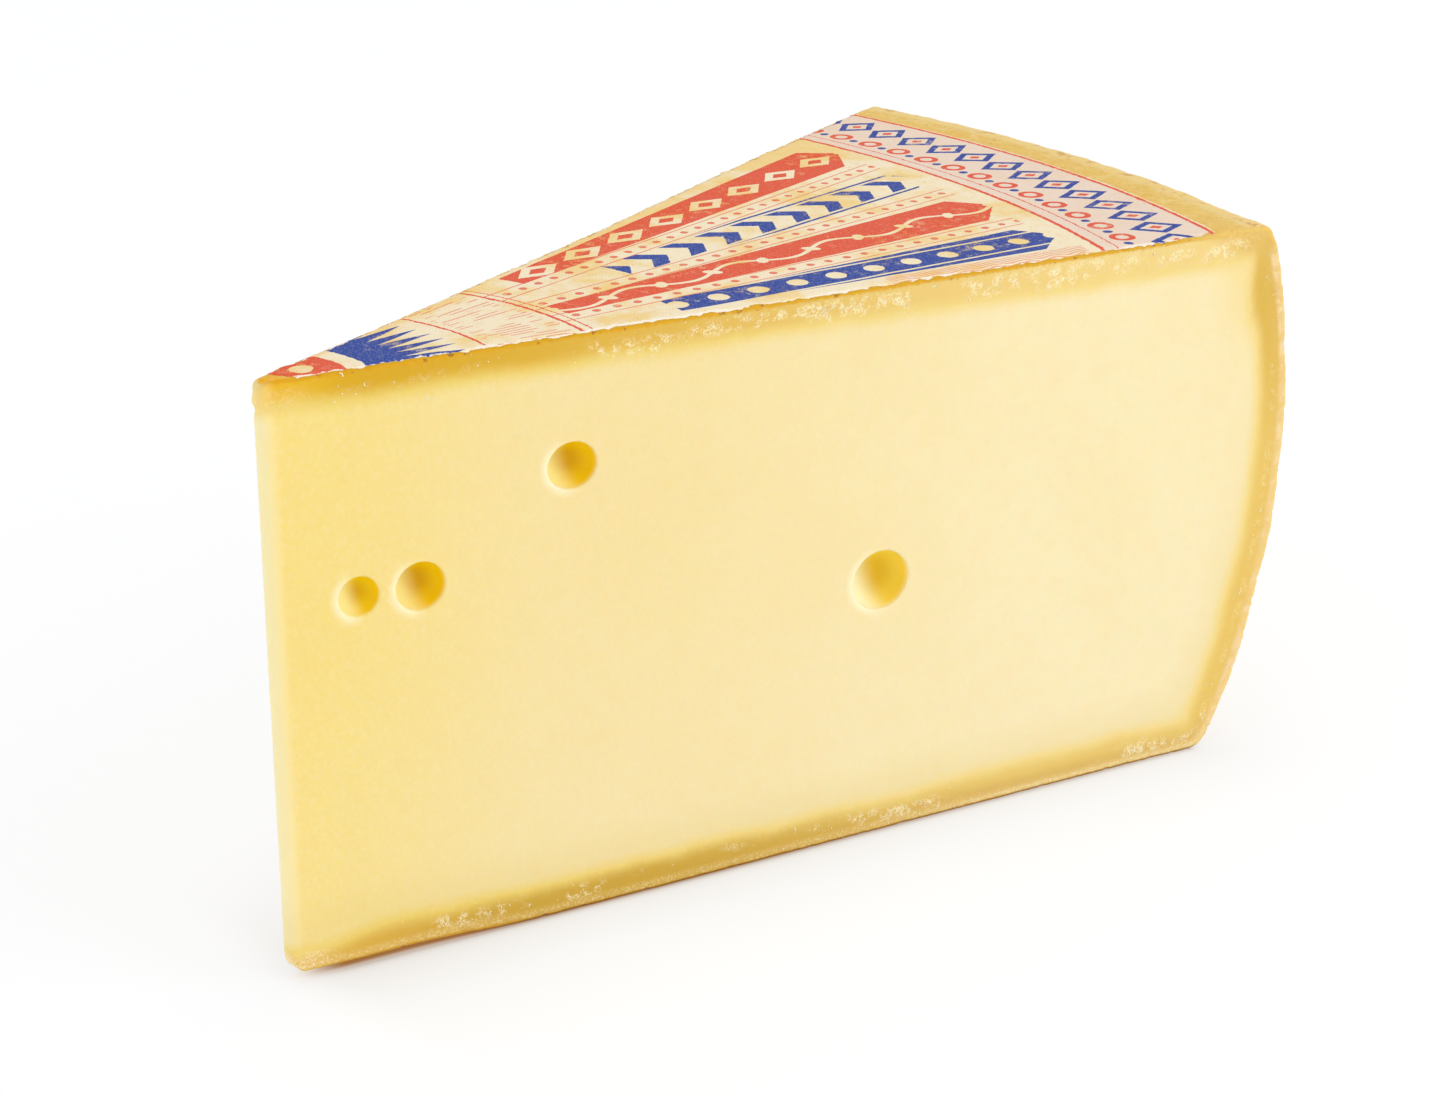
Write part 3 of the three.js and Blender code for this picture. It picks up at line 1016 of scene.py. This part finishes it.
def with_eyes(s, settings, colour):
    """A colour with the eyes in it, painted with light and shade: deep gold walls in shade, paler near
    the rim and up the wall, pale where light comes through, and a glow round the lower lips; and where
    they are.
    """
    from_eye, run, rise = s.parts(s.attribute("eye_at", "Vector"))
    side = run + 0.25 * rise
    in_eye = s.rise(from_eye, 0.1, -0.2) * s.rise(s.behind, 0.1, 0.5)
    to_heel = s.rise(s.x, -70, 0)
    # Painted light: paler near the rim inside the eye and up its upper wall
    around = s.most(s.rise(from_eye, -3.6, -0.5), 0.9 * s.rise(rise, 0.2, 0.8))
    # The wall paints light and shade: deep gold in shade, lighter at the rim and upper wall, pale on the
    # side towards the light
    wall = s.layered(
        s.mix(to_heel, settings.eye, settings.eye_heel_tone_and_shade),
        (around, s.mix(to_heel, NOSE_EYE_RIM_PAINTED_LIGHT, HEEL_EYE_RIM_PAINTED_LIGHT)),
        (s.rise(side, 0.33, -0.68), s.mix(to_heel, settings.eye_painted_light, HEEL_EYE_PAINTED_LIGHT)),
    )
    # Painted glow on the paste round the lower lip outside the eye
    painted_lip_glow = s.rise(from_eye, 2.2, 0.0) * (1 - in_eye) * s.rise(side, 0.1, -0.95)
    return s.layered(colour, (in_eye, wall), (0.7 * painted_lip_glow, EYE_LIP_PAINTED_GLOW)), in_eye


def cheese_relief(s):
    """Grain, knife marks on the cuts, and the weave that the cloth pressed into the wheel's side."""
    around = s.attribute("wheel_run")
    warp = s.math("SINE", (around + 0.3 * s.z) * (2 * math.pi / CLOTH_PITCH))
    weft = s.math("SINE", (s.z - 0.2 * around) * (2 * math.pi / CLOTH_PITCH))
    on_side = s.on_rind * s.rise(s.behind_heel, 2.5, 0.5)
    grain = s.noise(s.place, 0.45, 2, 0.6) + 0.7 * warp * weft * on_side
    knife = s.noise(s.stretched(s.place, (0.05, 0.05, 1.0)), 0.7, 1)
    return grain * (0.5 * s.rise(s.below, 7, 1.5) + 0.08) + 0.2 * knife


def cheese_material(settings):
    """Cut paste with its ripe band, the golden rind, and the eyes' glossy walls."""
    s = CheeseShader()
    ripe = ripeness(s)
    inner_band = s.mix(s.rise(s.x, -110, 30), NOSE_INNER_BAND, HEEL_INNER_BAND)
    cut = s.layered(
        paste_colour(s, settings),
        (s.rise(ripe, 0.0, 0.62), inner_band),
        (s.rise(ripe, 0.42, 1.0), band_colour(s, settings)),
    )
    skin = skin_colour(s, settings)
    on_skin = s.rise(s.below + 0.9 * (s.mottle - 0.5), 0.95, 0.35) * (0.95 - 0.75 * s.far_end)
    far_side = s.rise(s.y, -4.3, -2.4) * s.rise(s.x, -118, -120.5)
    colour = s.layered(
        with_dry_edges(s, cut),
        (on_skin, skin),
        # Painted sheen on the band over the nose's round
        (0.75 * s.nose * s.high * ripe, NOSE_CAP_PAINTED_SHEEN),
        (0.7 * far_side * ripe, NOSE_SIDE_PAINTED_SHEEN),
        (s.on_rind, rind_colour(s, settings, skin)),
        # Brown crust and painted contact shadow on the lowest edge of the foot
        (0.8 * s.rise(s.z, 0.75, 0.3), FOOT_CRUST_AND_SHADOW),
    )
    colour, in_eye = with_eyes(s, settings, colour)
    return s.finish(
        Base_Color=colour,
        Roughness=0.12 * s.mottle + 0.44 - 0.14 * in_eye,
        Normal=s.bump(cheese_relief(s), 0.12, 1.0),
        Specular_IOR_Level=0.24 - 0.14 * in_eye,
        Subsurface_Weight=0.4,
        Subsurface_Radius=(1.0, 0.62, 0.22),
        Subsurface_Scale=0.003,
    )


class LabelShader(Shader):
    """The label's nodes, with the places on it and the shapes that its print is made of."""

    def __init__(self):
        super().__init__("Label paper")
        self.place = self.millimetres()
        drift = self.noise(self.place, 1.3, 3, 0.7) - 0.5
        self.turn, reach, _ = self.parts(self.attribute("print_at", "Vector"))
        self.around, radius, _ = self.parts(self.attribute("ring_at", "Vector"))
        self.reach, self.radius = reach + drift, radius + drift

    def line(self, value, at, width):
        """A line where a value is reached."""
        return self.math("COMPARE", value, at, width / 2)

    def wrapped(self, value, pitch):
        """A value that starts again at each pitch, from minus half of it to half."""
        return (self.math("FRACT", value / pitch) - 0.5) * pitch

    def spot(self, across, along, radius):
        """A round spot."""
        return self.math("SQRT", across * across + along * along) < radius

    def lozenge(self, across, along, half_width, half_length):
        """0 in the middle of a lozenge and 1 along its outline."""
        return abs(across) / half_width + abs(along) / half_length

    def across_ray(self, centre):
        """How far a place lies beside the line at that angle."""
        return (self.turn - centre) * self.reach * (math.pi / 180)

    def ray(self, centre, half_width, start):
        """A tapered ray with a pointed end, and how far a place lies across it."""
        across = self.across_ray(centre)
        body = (abs(self.turn - centre) < half_width) * (self.reach > start)
        return body * (self.radius + 0.9 * abs(across) < RAY_TIP), across


def ray_inks(s):
    """The red and the blue ink of four tapered rays, each with its own pattern left bare."""
    # Red, with a chain of open lozenges
    lozenges, across = s.ray(12.2, 2.3, 74)
    share = s.lozenge(across, s.wrapped(s.reach, 15), 3.6, 6.4)
    lozenges = lozenges * (1 - (share < 1.0) * (share > 0.45))
    # Blue chevrons between two rails
    chevrons, across = s.ray(4.6, 2.5, 92)
    saw = s.wrapped(s.reach + 0.9 * abs(across), 11)
    inside = (abs(saw) < 2.3) * (abs(across) < 4.4)
    rails = (abs(across) > 5.2) * (abs(across) < 6.0)
    chevrons = chevrons * s.most(inside, rails)
    # Red, with a winding stem and berries
    stem, across = s.ray(-3.6, 2.7, 66)
    sway = 2.2 * s.math("SINE", s.reach * (2 * math.pi / 26))
    berries = s.spot(across + sway, s.wrapped(s.reach + 6.5, 13), 1.5)
    stem = stem * (1 - s.most(abs(across - sway) < 0.55, berries))
    # Blue, with a row of dots between two lines
    dots, across = s.ray(-11.6, 2.5, 84)
    rails = (abs(across) > 4.0) * (abs(across) < 4.7)
    dots = dots * (1 - s.most(s.spot(across, s.wrapped(s.reach, 9), 2.1), rails))
    return s.most(lozenges, stem), s.most(chevrons, dots)


def fine_ink(s):
    """The red ink of the fine work: a hatched field, beaded ribbons and a fan of wavy lines."""
    reach, radius = s.reach, s.radius
    hairs = abs(s.wrapped(s.turn + 0.5, 1.3)) < 0.2
    broken = s.noise(s.stretched(s.place, (0.25, 1, 1)), 1.5, 2) > 0.5
    hatch = hairs * broken * (reach > 45) * (reach < 61)
    wave = 0.25 * s.math("SINE", 0.9 * reach)
    fan = (abs(s.wrapped(s.turn + 0.4 * wave, 0.36)) < 0.075) * (s.turn < -14.5)
    fan = fan * (reach > 128) * (radius < INNER_RING - 3)
    middles = [s.across_ray(centre) for centre in (8.4, 0.6, -7.6)]
    beads = [s.spot(middle, s.wrapped(reach, 4.6), 0.85) for middle in middles]
    lines = [s.line(middle, offset, 0.35) for middle in middles for offset in (-2.2, 2.2)]
    ribbons = (reach > 62) * (radius < INNER_RING - 6) * s.most(*beads, *lines)
    return s.most(0.7 * hatch, 0.85 * ribbons, 0.6 * fan)


def rosette_inks(s):
    """The red disc and circles at the nose, and the blue sawtooth ring round the disc."""
    reach = s.reach
    teeth = (reach > 21) * (reach + 4.2 * abs(s.wrapped(s.turn + 1.6, 5.4)) < 40)
    disc = (reach < 17.5) * (1 - s.spot(s.across_ray(2.5), reach - 11, 2.1))
    circles = [s.line(reach, at, width) for at, width in ((43.5, 0.6), (62.5, 0.7), (64.5, 0.35))]
    return s.most(disc, *circles), teeth


def ring_inks(s):
    """The ring at the heel: lozenges with red hearts, and red spots, between two red lines."""
    radius = s.radius
    along = s.wrapped(s.around, RING_PITCH) * (247 * math.pi / 180)
    share = s.lozenge(along, radius - LOZENGE_ROW, 4.4, 6.2)
    half_way = s.wrapped(s.around + RING_PITCH / 2, RING_PITCH) * (239 * math.pi / 180)
    spots = s.spot(half_way, radius - SPOT_ROW, 2.7) * (1 - s.spot(half_way, radius - SPOT_ROW, 1.4))
    rings = ((OUTER_RING, 1.0), (INNER_RING, 1.0), (235.2, 0.35))
    lines = [s.line(radius, at, width) for at, width in rings]
    red = s.most(share < 0.26, spots, *lines)
    blue = s.most((share < 1.0) * (share > 0.6), s.spot(along, radius - 238.6, 1.0))
    return red, blue


def paper_colour(s, settings, fibre):
    """Cream paper, stained with butterfat in clouds and tinted between the two rings."""
    stained = s.noise(s.place, 14, 4, 0.65) + 0.14 * s.rise(s.turn, 10, 16)
    return s.layered(
        settings.paper,
        (0.85 * s.rise(stained, 0.44, 0.66), settings.stain),
        (0.3 * s.rise(s.noise(s.place, 3.2, 4, 0.7, 0.6), 0.5, 0.7), PAPER_CLOUDS),
        (0.85 * (s.radius > INNER_RING) * (s.radius < OUTER_RING), settings.ring_paper),
        (0.25 * s.rise(fibre, 0.35, 0.75), PAPER_FIBRES),
        (0.5 * s.rise(s.noise(s.place, 1.0, 2), 0.66, 0.74), PAPER_SPECKS),
    )


def label_material(settings):
    """Worn two-colour print on cream paper: a rosette, four rays and a ring of lozenges."""
    s = LabelShader()
    place = s.place
    reds, blues = zip(ray_inks(s), rosette_inks(s), ring_inks(s))

    # Ink is rubbed thin in the weave and gone in spots
    warp, weft = (s.math("SINE", run * (2 * math.pi / PAPER_PITCH)) for run in s.parts(place)[:2])
    weave = warp * weft
    worn = s.noise(place, 2.2, 5, 0.7, 0.4)
    kept = s.rise(worn + 0.5 * s.noise(place, 14, 3, 0.6) + 0.05 * weave, 0.98, 0.8)
    thin = s.rise(s.noise(s.stretched(place, (1, 0.6, 1)), 0.55, 2, 0.6), 0.46, 0.66)
    ink = (0.46 * kept + 0.53) * (1 - 0.1 * thin) * (0.03 * weave + 0.97)

    # Torn edges show the white inside of the paper
    ragged = 1.6 * (s.noise(place, 1.4, 3, 0.6) - 0.42)
    fray = s.attribute("from_edge") + ragged - 0.7 * s.rise(s.noise(place, 9, 2), 0.48, 0.62)
    fibre = s.noise(s.stretched(place, (1, 0.25, 1)), 0.8, 3, 0.6)
    colour = s.layered(
        paper_colour(s, settings, fibre),
        (s.most(*reds, fine_ink(s)) * ink, settings.red),
        (s.most(*blues) * ink, settings.blue),
        (0.9 * s.rise(fray, 0.3, 0.05), TORN_PAPER),
    )
    normal = s.bump(0.35 * weave + fibre + 0.8 * worn, 0.09, 0.6)
    return s.finish(Base_Color=colour, Roughness=0.82, Normal=normal, Specular_IOR_Level=0.14)


def crumb_material(settings):
    """Dry pale crumbs."""
    s = Shader("Crumbs")
    place = s.millimetres()
    tint = 0.5 * s.rise(s.noise(place, 2.0, 2), 0.35, 0.7)
    return s.finish(
        Base_Color=s.mix(tint, settings.colour, DARK_CRUMBS),
        Roughness=0.6,
        Normal=s.bump(s.noise(place, 0.2, 2), 0.03, 0.4),
        Subsurface_Weight=0.2,
        Subsurface_Radius=(1.0, 0.7, 0.4),
        Subsurface_Scale=0.0006,
    )


def foot_distances(s, x, y):
    """How far a place on the floor lies out of each side of the wedge's foot."""

    def beyond(outward, point):
        """How far it lies out of a straight side."""
        offset = -float(outward[0] * point[0] + outward[1] * point[1])
        return x * float(outward[0]) + y * float(outward[1]) + offset

    nose = CROSSING[:2] + [NOSE_LEFT, 0]
    middle = CROSSING[:2] + WHEEL_CENTRE
    run_x, run_y = x - float(middle[0]), y - float(middle[1])
    heel = s.math("SQRT", run_x * run_x + run_y * run_y) - (HEEL_RADIUS + SIDE_PROFILE[0][0])
    return [beyond(FRONT_OUT, CROSSING), beyond(BACK_OUT, CROSSING), beyond((-1, 0), nose), heel]


def floor_material(glow):
    """A plain studio floor that is lit from below, with its glow lowered into painted shadows close
    round the wedge and turned into a painted dark brown shadow under it.
    """
    s = Shader("Floor")
    x, y, _ = s.parts(s.millimetres())
    outs = foot_distances(s, x, y)
    lifted = s.rise(x, -72, -100)
    to_right = s.rise(x, -60, 40)
    shifted = s.most(*outs) + 1.3 * lifted + 0.65 * to_right + 0.15
    # Painted shadow: dark brown where the floor lies under the foot
    inside = s.rise(shifted, 0.9 * lifted + 0.65, -0.4) * s.rise(x, -121, -111)
    clear = [s.most(out, 0.0) for out in outs]
    away = s.math("SQRT", sum(out * out for out in clear))
    # Painted contact shadow close round the foot
    contact_painted_shadow = s.math("EXPONENT", away * (-1 / 0.75)) * s.rise(x, -123, -108)
    contact_painted_shadow = contact_painted_shadow * (0.45 - 0.2 * lifted - 0.18 * to_right)
    # Painted wide soft shadow round the wedge
    wide_painted_shadow = 0.165 * s.math("EXPONENT", away * (-1 / 15))
    wide_painted_shadow = wide_painted_shadow * (s.rise(x, -126, -112) + 0.3 - 0.3 * s.rise(x, -105, -62) - 0.2 * to_right)
    light = s.layered(
        COOL_LIGHT,
        (3.0 * wide_painted_shadow, WIDE_SHADOW_TINT),
        (s.math("MINIMUM", 2.2 * contact_painted_shadow, 1.0), CONTACT_SHADOW_TINT),
        (inside, FOOT_GAP_SHADOW),
    )
    return s.finish(
        Base_Color=FLOOR_GREY,
        Roughness=0.7,
        Specular_IOR_Level=0.1,
        Emission_Color=light,
        Emission_Strength=(1 - (wide_painted_shadow + contact_painted_shadow) * (1 - inside)) * glow,
    )


# ---------------------------------------------------------------------------------------------
# The label
# ---------------------------------------------------------------------------------------------


def beside_cut(direction, outward, along, out):
    """Points beside a cut: so far along it from the crossing, and so far out of the wedge."""
    return along[:, None] * direction + out[:, None] * outward


def label_reach(direction, outward):
    """Where a line just inside a cut meets the label's round edge."""
    start = -LABEL_INSET * outward - WHEEL_CENTRE
    ahead = start @ direction
    return -ahead + math.sqrt(ahead**2 - start @ start + LABEL_RADIUS**2)


def torn_edge(along, seed):
    """How far a torn edge strays from its line."""
    places = np.stack([along, np.full_like(along, seed), np.zeros_like(along)], axis=1)
    return 0.6 * cloud(places, 3.1, 4) + 0.3 * cloud(places, 17, 2) + 0.3 * cloud(places + 5, 1.1, 2)


def label_sheet(rows, columns):
    """A grid of points over the label, with the distance of each from its torn edges."""
    share = np.linspace(0, 1, rows)
    edges = []
    for cut, seed in (("front", 3), ("back", 50)):
        direction, outward = CUTS[cut]
        start = LABEL_START[cut]
        along = start + (label_reach(direction, outward) - start) * share
        bow = back_bow(along) if cut == "back" else 0
        stray = np.minimum(torn_edge(along, seed), LABEL_INSET - 0.1)
        edges.append(beside_cut(direction, outward, along, bow - LABEL_INSET + stray))
    across = np.linspace(0, 1, columns)
    front, back = edges
    sheet = front[:, None] * (1 - across)[None, :, None] + back[:, None] * across[None, :, None]
    # The outer end follows its arc, and the rows before it come round to that little by little
    chord = sheet[-1] - WHEEL_CENTRE
    arc = WHEEL_CENTRE + chord * (LABEL_RADIUS / np.linalg.norm(chord, axis=1))[:, None]
    sheet += (share**4)[:, None, None] * (arc - sheet[-1])[None]
    inner = torn_edge(across * 8, 90) * 0.6
    sheet[:, :, 0] += ((1 - share) ** 12)[:, None] * inner[None, :]
    width = np.linalg.norm(back - front, axis=1)
    from_edge = np.minimum(across[None, :], 1 - across[None, :]) * width[:, None]
    from_end = share[:, None] * 200 + 0.3
    return sheet, np.minimum(from_edge, from_end)


def build_label(settings):
    """The paper as a thin closed shell that lies on the rind."""
    rows, columns = settings.rows, settings.columns
    sheet, from_edge = label_sheet(rows, columns)
    flat = sheet.reshape(-1, 2)
    from_edge = from_edge.ravel()
    places = np.column_stack([flat, np.zeros(len(flat))])
    cockle = 0.05 * cloud(places, 11, 2) + 0.02 * cloud(places, 2.5, 2)
    lift = 0.25 * np.clip(cloud(places + 9, 5, 2), 0, 1) * fade(from_edge, 1.2)
    droop = 0.28 * fade(from_edge, 0.5)
    low, high = (corner.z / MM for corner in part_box("label"))
    thickness = settings.thickness / MM
    under = low + 0.02 + np.maximum(cockle, -0.02) * 0.5 + lift - droop
    top = np.minimum(under + thickness + 0.5 * cockle, high)
    points = np.vstack([np.column_stack([flat, top]), np.column_stack([flat, under])])
    number = np.arange(rows * columns).reshape(rows, columns)
    a, b, c, d = number[:-1, :-1], number[1:, :-1], number[1:, 1:], number[:-1, 1:]
    upper = np.stack([a, b, c, d], axis=-1).reshape(-1, 4)
    lower = upper[:, ::-1] + rows * columns
    loop = np.concatenate([number[:-1, 0], number[-1, :-1], number[:0:-1, -1], number[0, :0:-1]])
    after = np.roll(loop, -1)
    wall = np.stack([after, loop, loop + rows * columns, after + rows * columns], axis=1)
    label = add_mesh("paper_label", to_frame(points), np.vstack([upper, lower, wall]))
    both = np.vstack([flat, flat])
    for name, run in (("print_at", both), ("ring_at", both - WHEEL_CENTRE)):
        angle = np.degrees(np.arctan2(run[:, 1], run[:, 0]))
        polar = np.column_stack([angle, np.hypot(*run.T), np.zeros(len(run))])
        set_attribute(label.data, name, polar, "FLOAT_VECTOR")
    set_attribute(label.data, "from_edge", np.concatenate([from_edge, from_edge]))
    return label


# ---------------------------------------------------------------------------------------------
# Crumbs
# ---------------------------------------------------------------------------------------------


class Tree(Nodes):
    """A Geometry Nodes tree with named inputs."""

    def __init__(self, name, inputs):
        super().__init__(bpy.data.node_groups.new(name, "GeometryNodeTree"))
        made = self.node_tree.interface.new_socket
        made("Geometry", in_out="OUTPUT", socket_type="NodeSocketGeometry")
        made("Geometry", in_out="INPUT", socket_type="NodeSocketGeometry")
        self.sockets = {key: made(key, in_out="INPUT", socket_type=kind) for key, kind in inputs.items()}
        self.given = self.node("NodeGroupInput")

    def random(self, low, high, seed):
        """A random number for each point."""
        inputs = {2: low, 3: high, "Seed": seed}
        return self.node("FunctionNodeRandomValue", inputs, data_type="FLOAT")[1]

    def scattered(self, density, seed, shape, tilt):
        """Copies of a shape on the surface, each turned and sized at random."""
        given = {0: self.given["Seed"], 1: seed}
        inputs = {
            "Mesh": self.given["Geometry"],
            "Density": density,
            "Seed": self.node("FunctionNodeIntegerMath", given, operation="ADD"),
        }
        spots = self.node("GeometryNodeDistributePointsOnFaces", inputs)
        inputs = {
            "X": self.random(-tilt, tilt, seed + 1),
            "Y": self.random(-tilt, tilt, seed + 2),
            "Z": self.random(0, 2 * math.pi, seed + 3),
        }
        turn = self.node("FunctionNodeEulerToRotation", {0: self.node("ShaderNodeCombineXYZ", inputs)})
        inputs = {0: spots["Rotation"], 1: turn}
        inputs = {
            "Points": spots["Points"],
            "Instance": shape,
            "Rotation": self.node("FunctionNodeRotateRotation", inputs, rotation_space="LOCAL"),
            "Scale": self.random(0.45, 1.25, seed + 4),
        }
        return self.node("GeometryNodeInstanceOnPoints", inputs)


def curl_shape(tree):
    """A curled crumb: a short arc, thickest in its middle."""
    radius = tree.given["Curl radius"]
    arc = tree.node("GeometryNodeCurveArc", {"Resolution": 5, "Radius": radius, "Sweep Angle": 2.2})
    share = tree.node("GeometryNodeSplineParameter")["Factor"]
    bulge = 0.75 * tree.math("SINE", share * math.pi) + 0.25
    arc = tree.node("GeometryNodeSetCurveRadius", {"Curve": arc["Curve"], "Radius": bulge})
    circle = {"Resolution": 4, "Radius": 0.3 * radius}
    section = tree.node("GeometryNodeCurvePrimitiveCircle", circle)["Curve"]
    inputs = {"Curve": arc, "Profile Curve": section, "Fill Caps": True}
    return tree.node("GeometryNodeCurveToMesh", inputs)


def crumb_tree(material):
    """Scatters curled crumbs and grains where the surface's crumble value says."""
    lengths = ("Curls", "Grains", "Curl radius", "Grain radius")
    tree = Tree("Crumbs", {**dict.fromkeys(lengths, "NodeSocketFloat"), "Seed": "NodeSocketInt"})
    crumble = {"Name": "crumble"}
    where = tree.node("GeometryNodeInputNamedAttribute", crumble, data_type="FLOAT")
    ball = {"Radius": tree.given["Grain radius"], "Subdivisions": 1}
    grain = tree.node("GeometryNodeMeshIcoSphere", ball)
    grains = tree.scattered(where * tree.given["Grains"], seed=23, shape=grain, tilt=1.5)
    curl = curl_shape(tree)
    curls = tree.scattered(where * tree.given["Curls"], seed=11, shape=curl, tilt=0.35)
    joined = tree.node("GeometryNodeJoinGeometry")
    for part in (grains, curls):
        tree.join(part, joined.node.inputs[0])
    real = tree.node("GeometryNodeRealizeInstances", {0: joined})
    painted = tree.node("GeometryNodeSetMaterial", {"Geometry": real, "Material": material})
    tree.node("NodeGroupOutput", {0: painted})
    return tree


def build_crumbs(settings, body, material):
    """The crumbs as one plain mesh on the body's bands."""
    tree = crumb_tree(material)
    carrier = add_object("crumb_carrier", body.data)
    scatter = carrier.modifiers.new("Crumbs", "NODES")
    scatter.node_group = tree.node_tree
    per_square_metre = 1e4
    values = {
        "Curls": settings.curls * per_square_metre,
        "Grains": settings.grains * per_square_metre,
        "Curl radius": settings.length,
        "Grain radius": settings.grain,
        "Seed": settings.seed,
    }
    for key, value in values.items():
        scatter[tree.sockets[key].identifier] = value
    mesh = evaluated_mesh(carrier)
    mesh.name = "crumbs"
    mesh.vertices.foreach_set("co", inside_box(places_of(mesh)).ravel())
    bpy.data.objects.remove(carrier)
    return add_object("crumbs", mesh)


# ---------------------------------------------------------------------------------------------
# Operators
# ---------------------------------------------------------------------------------------------


class CHEESE_OT_body(bpy.types.Operator):
    """Make the cheese with its rind and eyes"""

    bl_idname = "cheese.body"
    bl_label = "Cheese"

    def execute(self, context):
        settings = context.scene.cheese_body
        body = build_body(settings)
        body.data.materials.append(cheese_material(settings))
        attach(body, "root")
        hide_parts("cheese")
        return {"FINISHED"}


class CHEESE_OT_label(bpy.types.Operator):
    """Make the printed paper label"""

    bl_idname = "cheese.label"
    bl_label = "Label"

    def execute(self, context):
        settings = context.scene.cheese_label
        label = build_label(settings)
        label.data.materials.append(label_material(settings))
        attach(label, "root")
        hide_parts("label")
        return {"FINISHED"}


class CHEESE_OT_crumbs(bpy.types.Operator):
    """Scatter the crumbs along the cut edges"""

    bl_idname = "cheese.crumbs"
    bl_label = "Crumbs"

    def execute(self, context):
        settings = context.scene.cheese_crumbs
        body = context.scene.objects["cheese_body"]
        crumbs = build_crumbs(settings, body, crumb_material(settings))
        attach(crumbs, "root")
        return {"FINISHED"}


class CHEESE_OT_stage(bpy.types.Operator):
    """Make the floor, the lights and the camera"""

    bl_idname = "cheese.stage"
    bl_label = "Stage"

    def execute(self, context):
        settings = context.scene.cheese_stage
        build_floor(settings)
        build_lights(settings)
        build_camera()
        return {"FINISHED"}


class CHEESE_PT_wedge(bpy.types.Panel):
    """The wedge's pieces and their settings"""

    bl_label = "Cheese wedge"
    bl_space_type = "VIEW_3D"
    bl_region_type = "UI"
    bl_category = "Cheese"

    def draw(self, context):
        for name, (operator, group) in PARTS.items():
            box = self.layout.box()
            box.operator(operator.bl_idname)
            settings = getattr(context.scene, name)
            for key in group.__annotations__:
                box.prop(settings, key)


def build_floor(settings):
    """A large pale floor that the wedge stands on."""
    half = settings.floor / 2
    corners = np.array([(-half, -half, 0), (half, -half, 0), (half, half, 0), (-half, half, 0)])
    floor = add_mesh("floor", corners - [0, 0, FLOOR_DROP], np.array([[0, 1, 2, 3]]))
    floor.data.materials.append(floor_material(settings.glow))


def area_light(name, place, power):
    """A large square light that faces the wedge."""
    lamp = bpy.data.lights.new(name, "AREA")
    lamp.energy = power
    lamp.size = LIGHT_SIZE
    made = add_object(name, lamp)
    made.location = place
    facing = Vector(LIGHT_TARGET) - Vector(place)
    made.rotation_euler = facing.to_track_quat("-Z", "Y").to_euler()


def build_lights(settings):
    """A white sky, a large key light from the upper right in front, and a fill on the nose."""
    world = bpy.data.worlds.new("Sky")
    world.use_nodes = True
    background = world.node_tree.nodes["Background"]
    background.inputs["Color"].default_value = (1, 1, 1, 1)
    background.inputs["Strength"].default_value = settings.sky
    bpy.context.scene.world = world
    bpy.context.scene.view_settings.view_transform = "Standard"
    area_light("key", KEY_PLACE, settings.key)
    area_light("fill", FILL_PLACE, settings.fill)


def build_camera():
    """The camera, turned from its own pitch, yaw and roll."""
    forward = Vector((
        math.sin(CAMERA_YAW) * math.cos(CAMERA_PITCH),
        math.cos(CAMERA_YAW) * math.cos(CAMERA_PITCH),
        -math.sin(CAMERA_PITCH),
    ))
    data = bpy.data.cameras.new("camera")
    data.lens = CAMERA_LENS
    data.sensor_width = SENSOR_WIDTH
    data.clip_start = 0.01
    camera = add_object("camera", data)
    camera.rotation_mode = "QUATERNION"
    level = forward.to_track_quat("-Z", "Y").to_matrix()
    camera.rotation_quaternion = (level @ Matrix.Rotation(CAMERA_ROLL, 3, "Z")).to_quaternion()
    camera.location = to_frame(CAMERA_PLACE)
    bpy.context.scene.camera = camera


PARTS = {
    "cheese_body": (CHEESE_OT_body, BodySettings),
    "cheese_label": (CHEESE_OT_label, LabelSettings),
    "cheese_crumbs": (CHEESE_OT_crumbs, CrumbSettings),
    "cheese_stage": (CHEESE_OT_stage, StageSettings),
}


def register():
    """Registers the settings, operators and panel."""
    for name, (operator, group) in PARTS.items():
        bpy.utils.register_class(group)
        bpy.utils.register_class(operator)
        setattr(bpy.types.Scene, name, bpy.props.PointerProperty(type=group))
    bpy.utils.register_class(CHEESE_PT_wedge)


def unregister():
    """Removes what register added."""
    bpy.utils.unregister_class(CHEESE_PT_wedge)
    for name, (operator, group) in reversed(PARTS.items()):
        delattr(bpy.types.Scene, name)
        bpy.utils.unregister_class(operator)
        bpy.utils.unregister_class(group)


def main():
    """Makes every piece in order."""
    register()
    bpy.ops.cheese.body()
    bpy.ops.cheese.label()
    bpy.ops.cheese.crumbs()
    bpy.ops.cheese.stage()


if __name__ == "__main__":
    main()
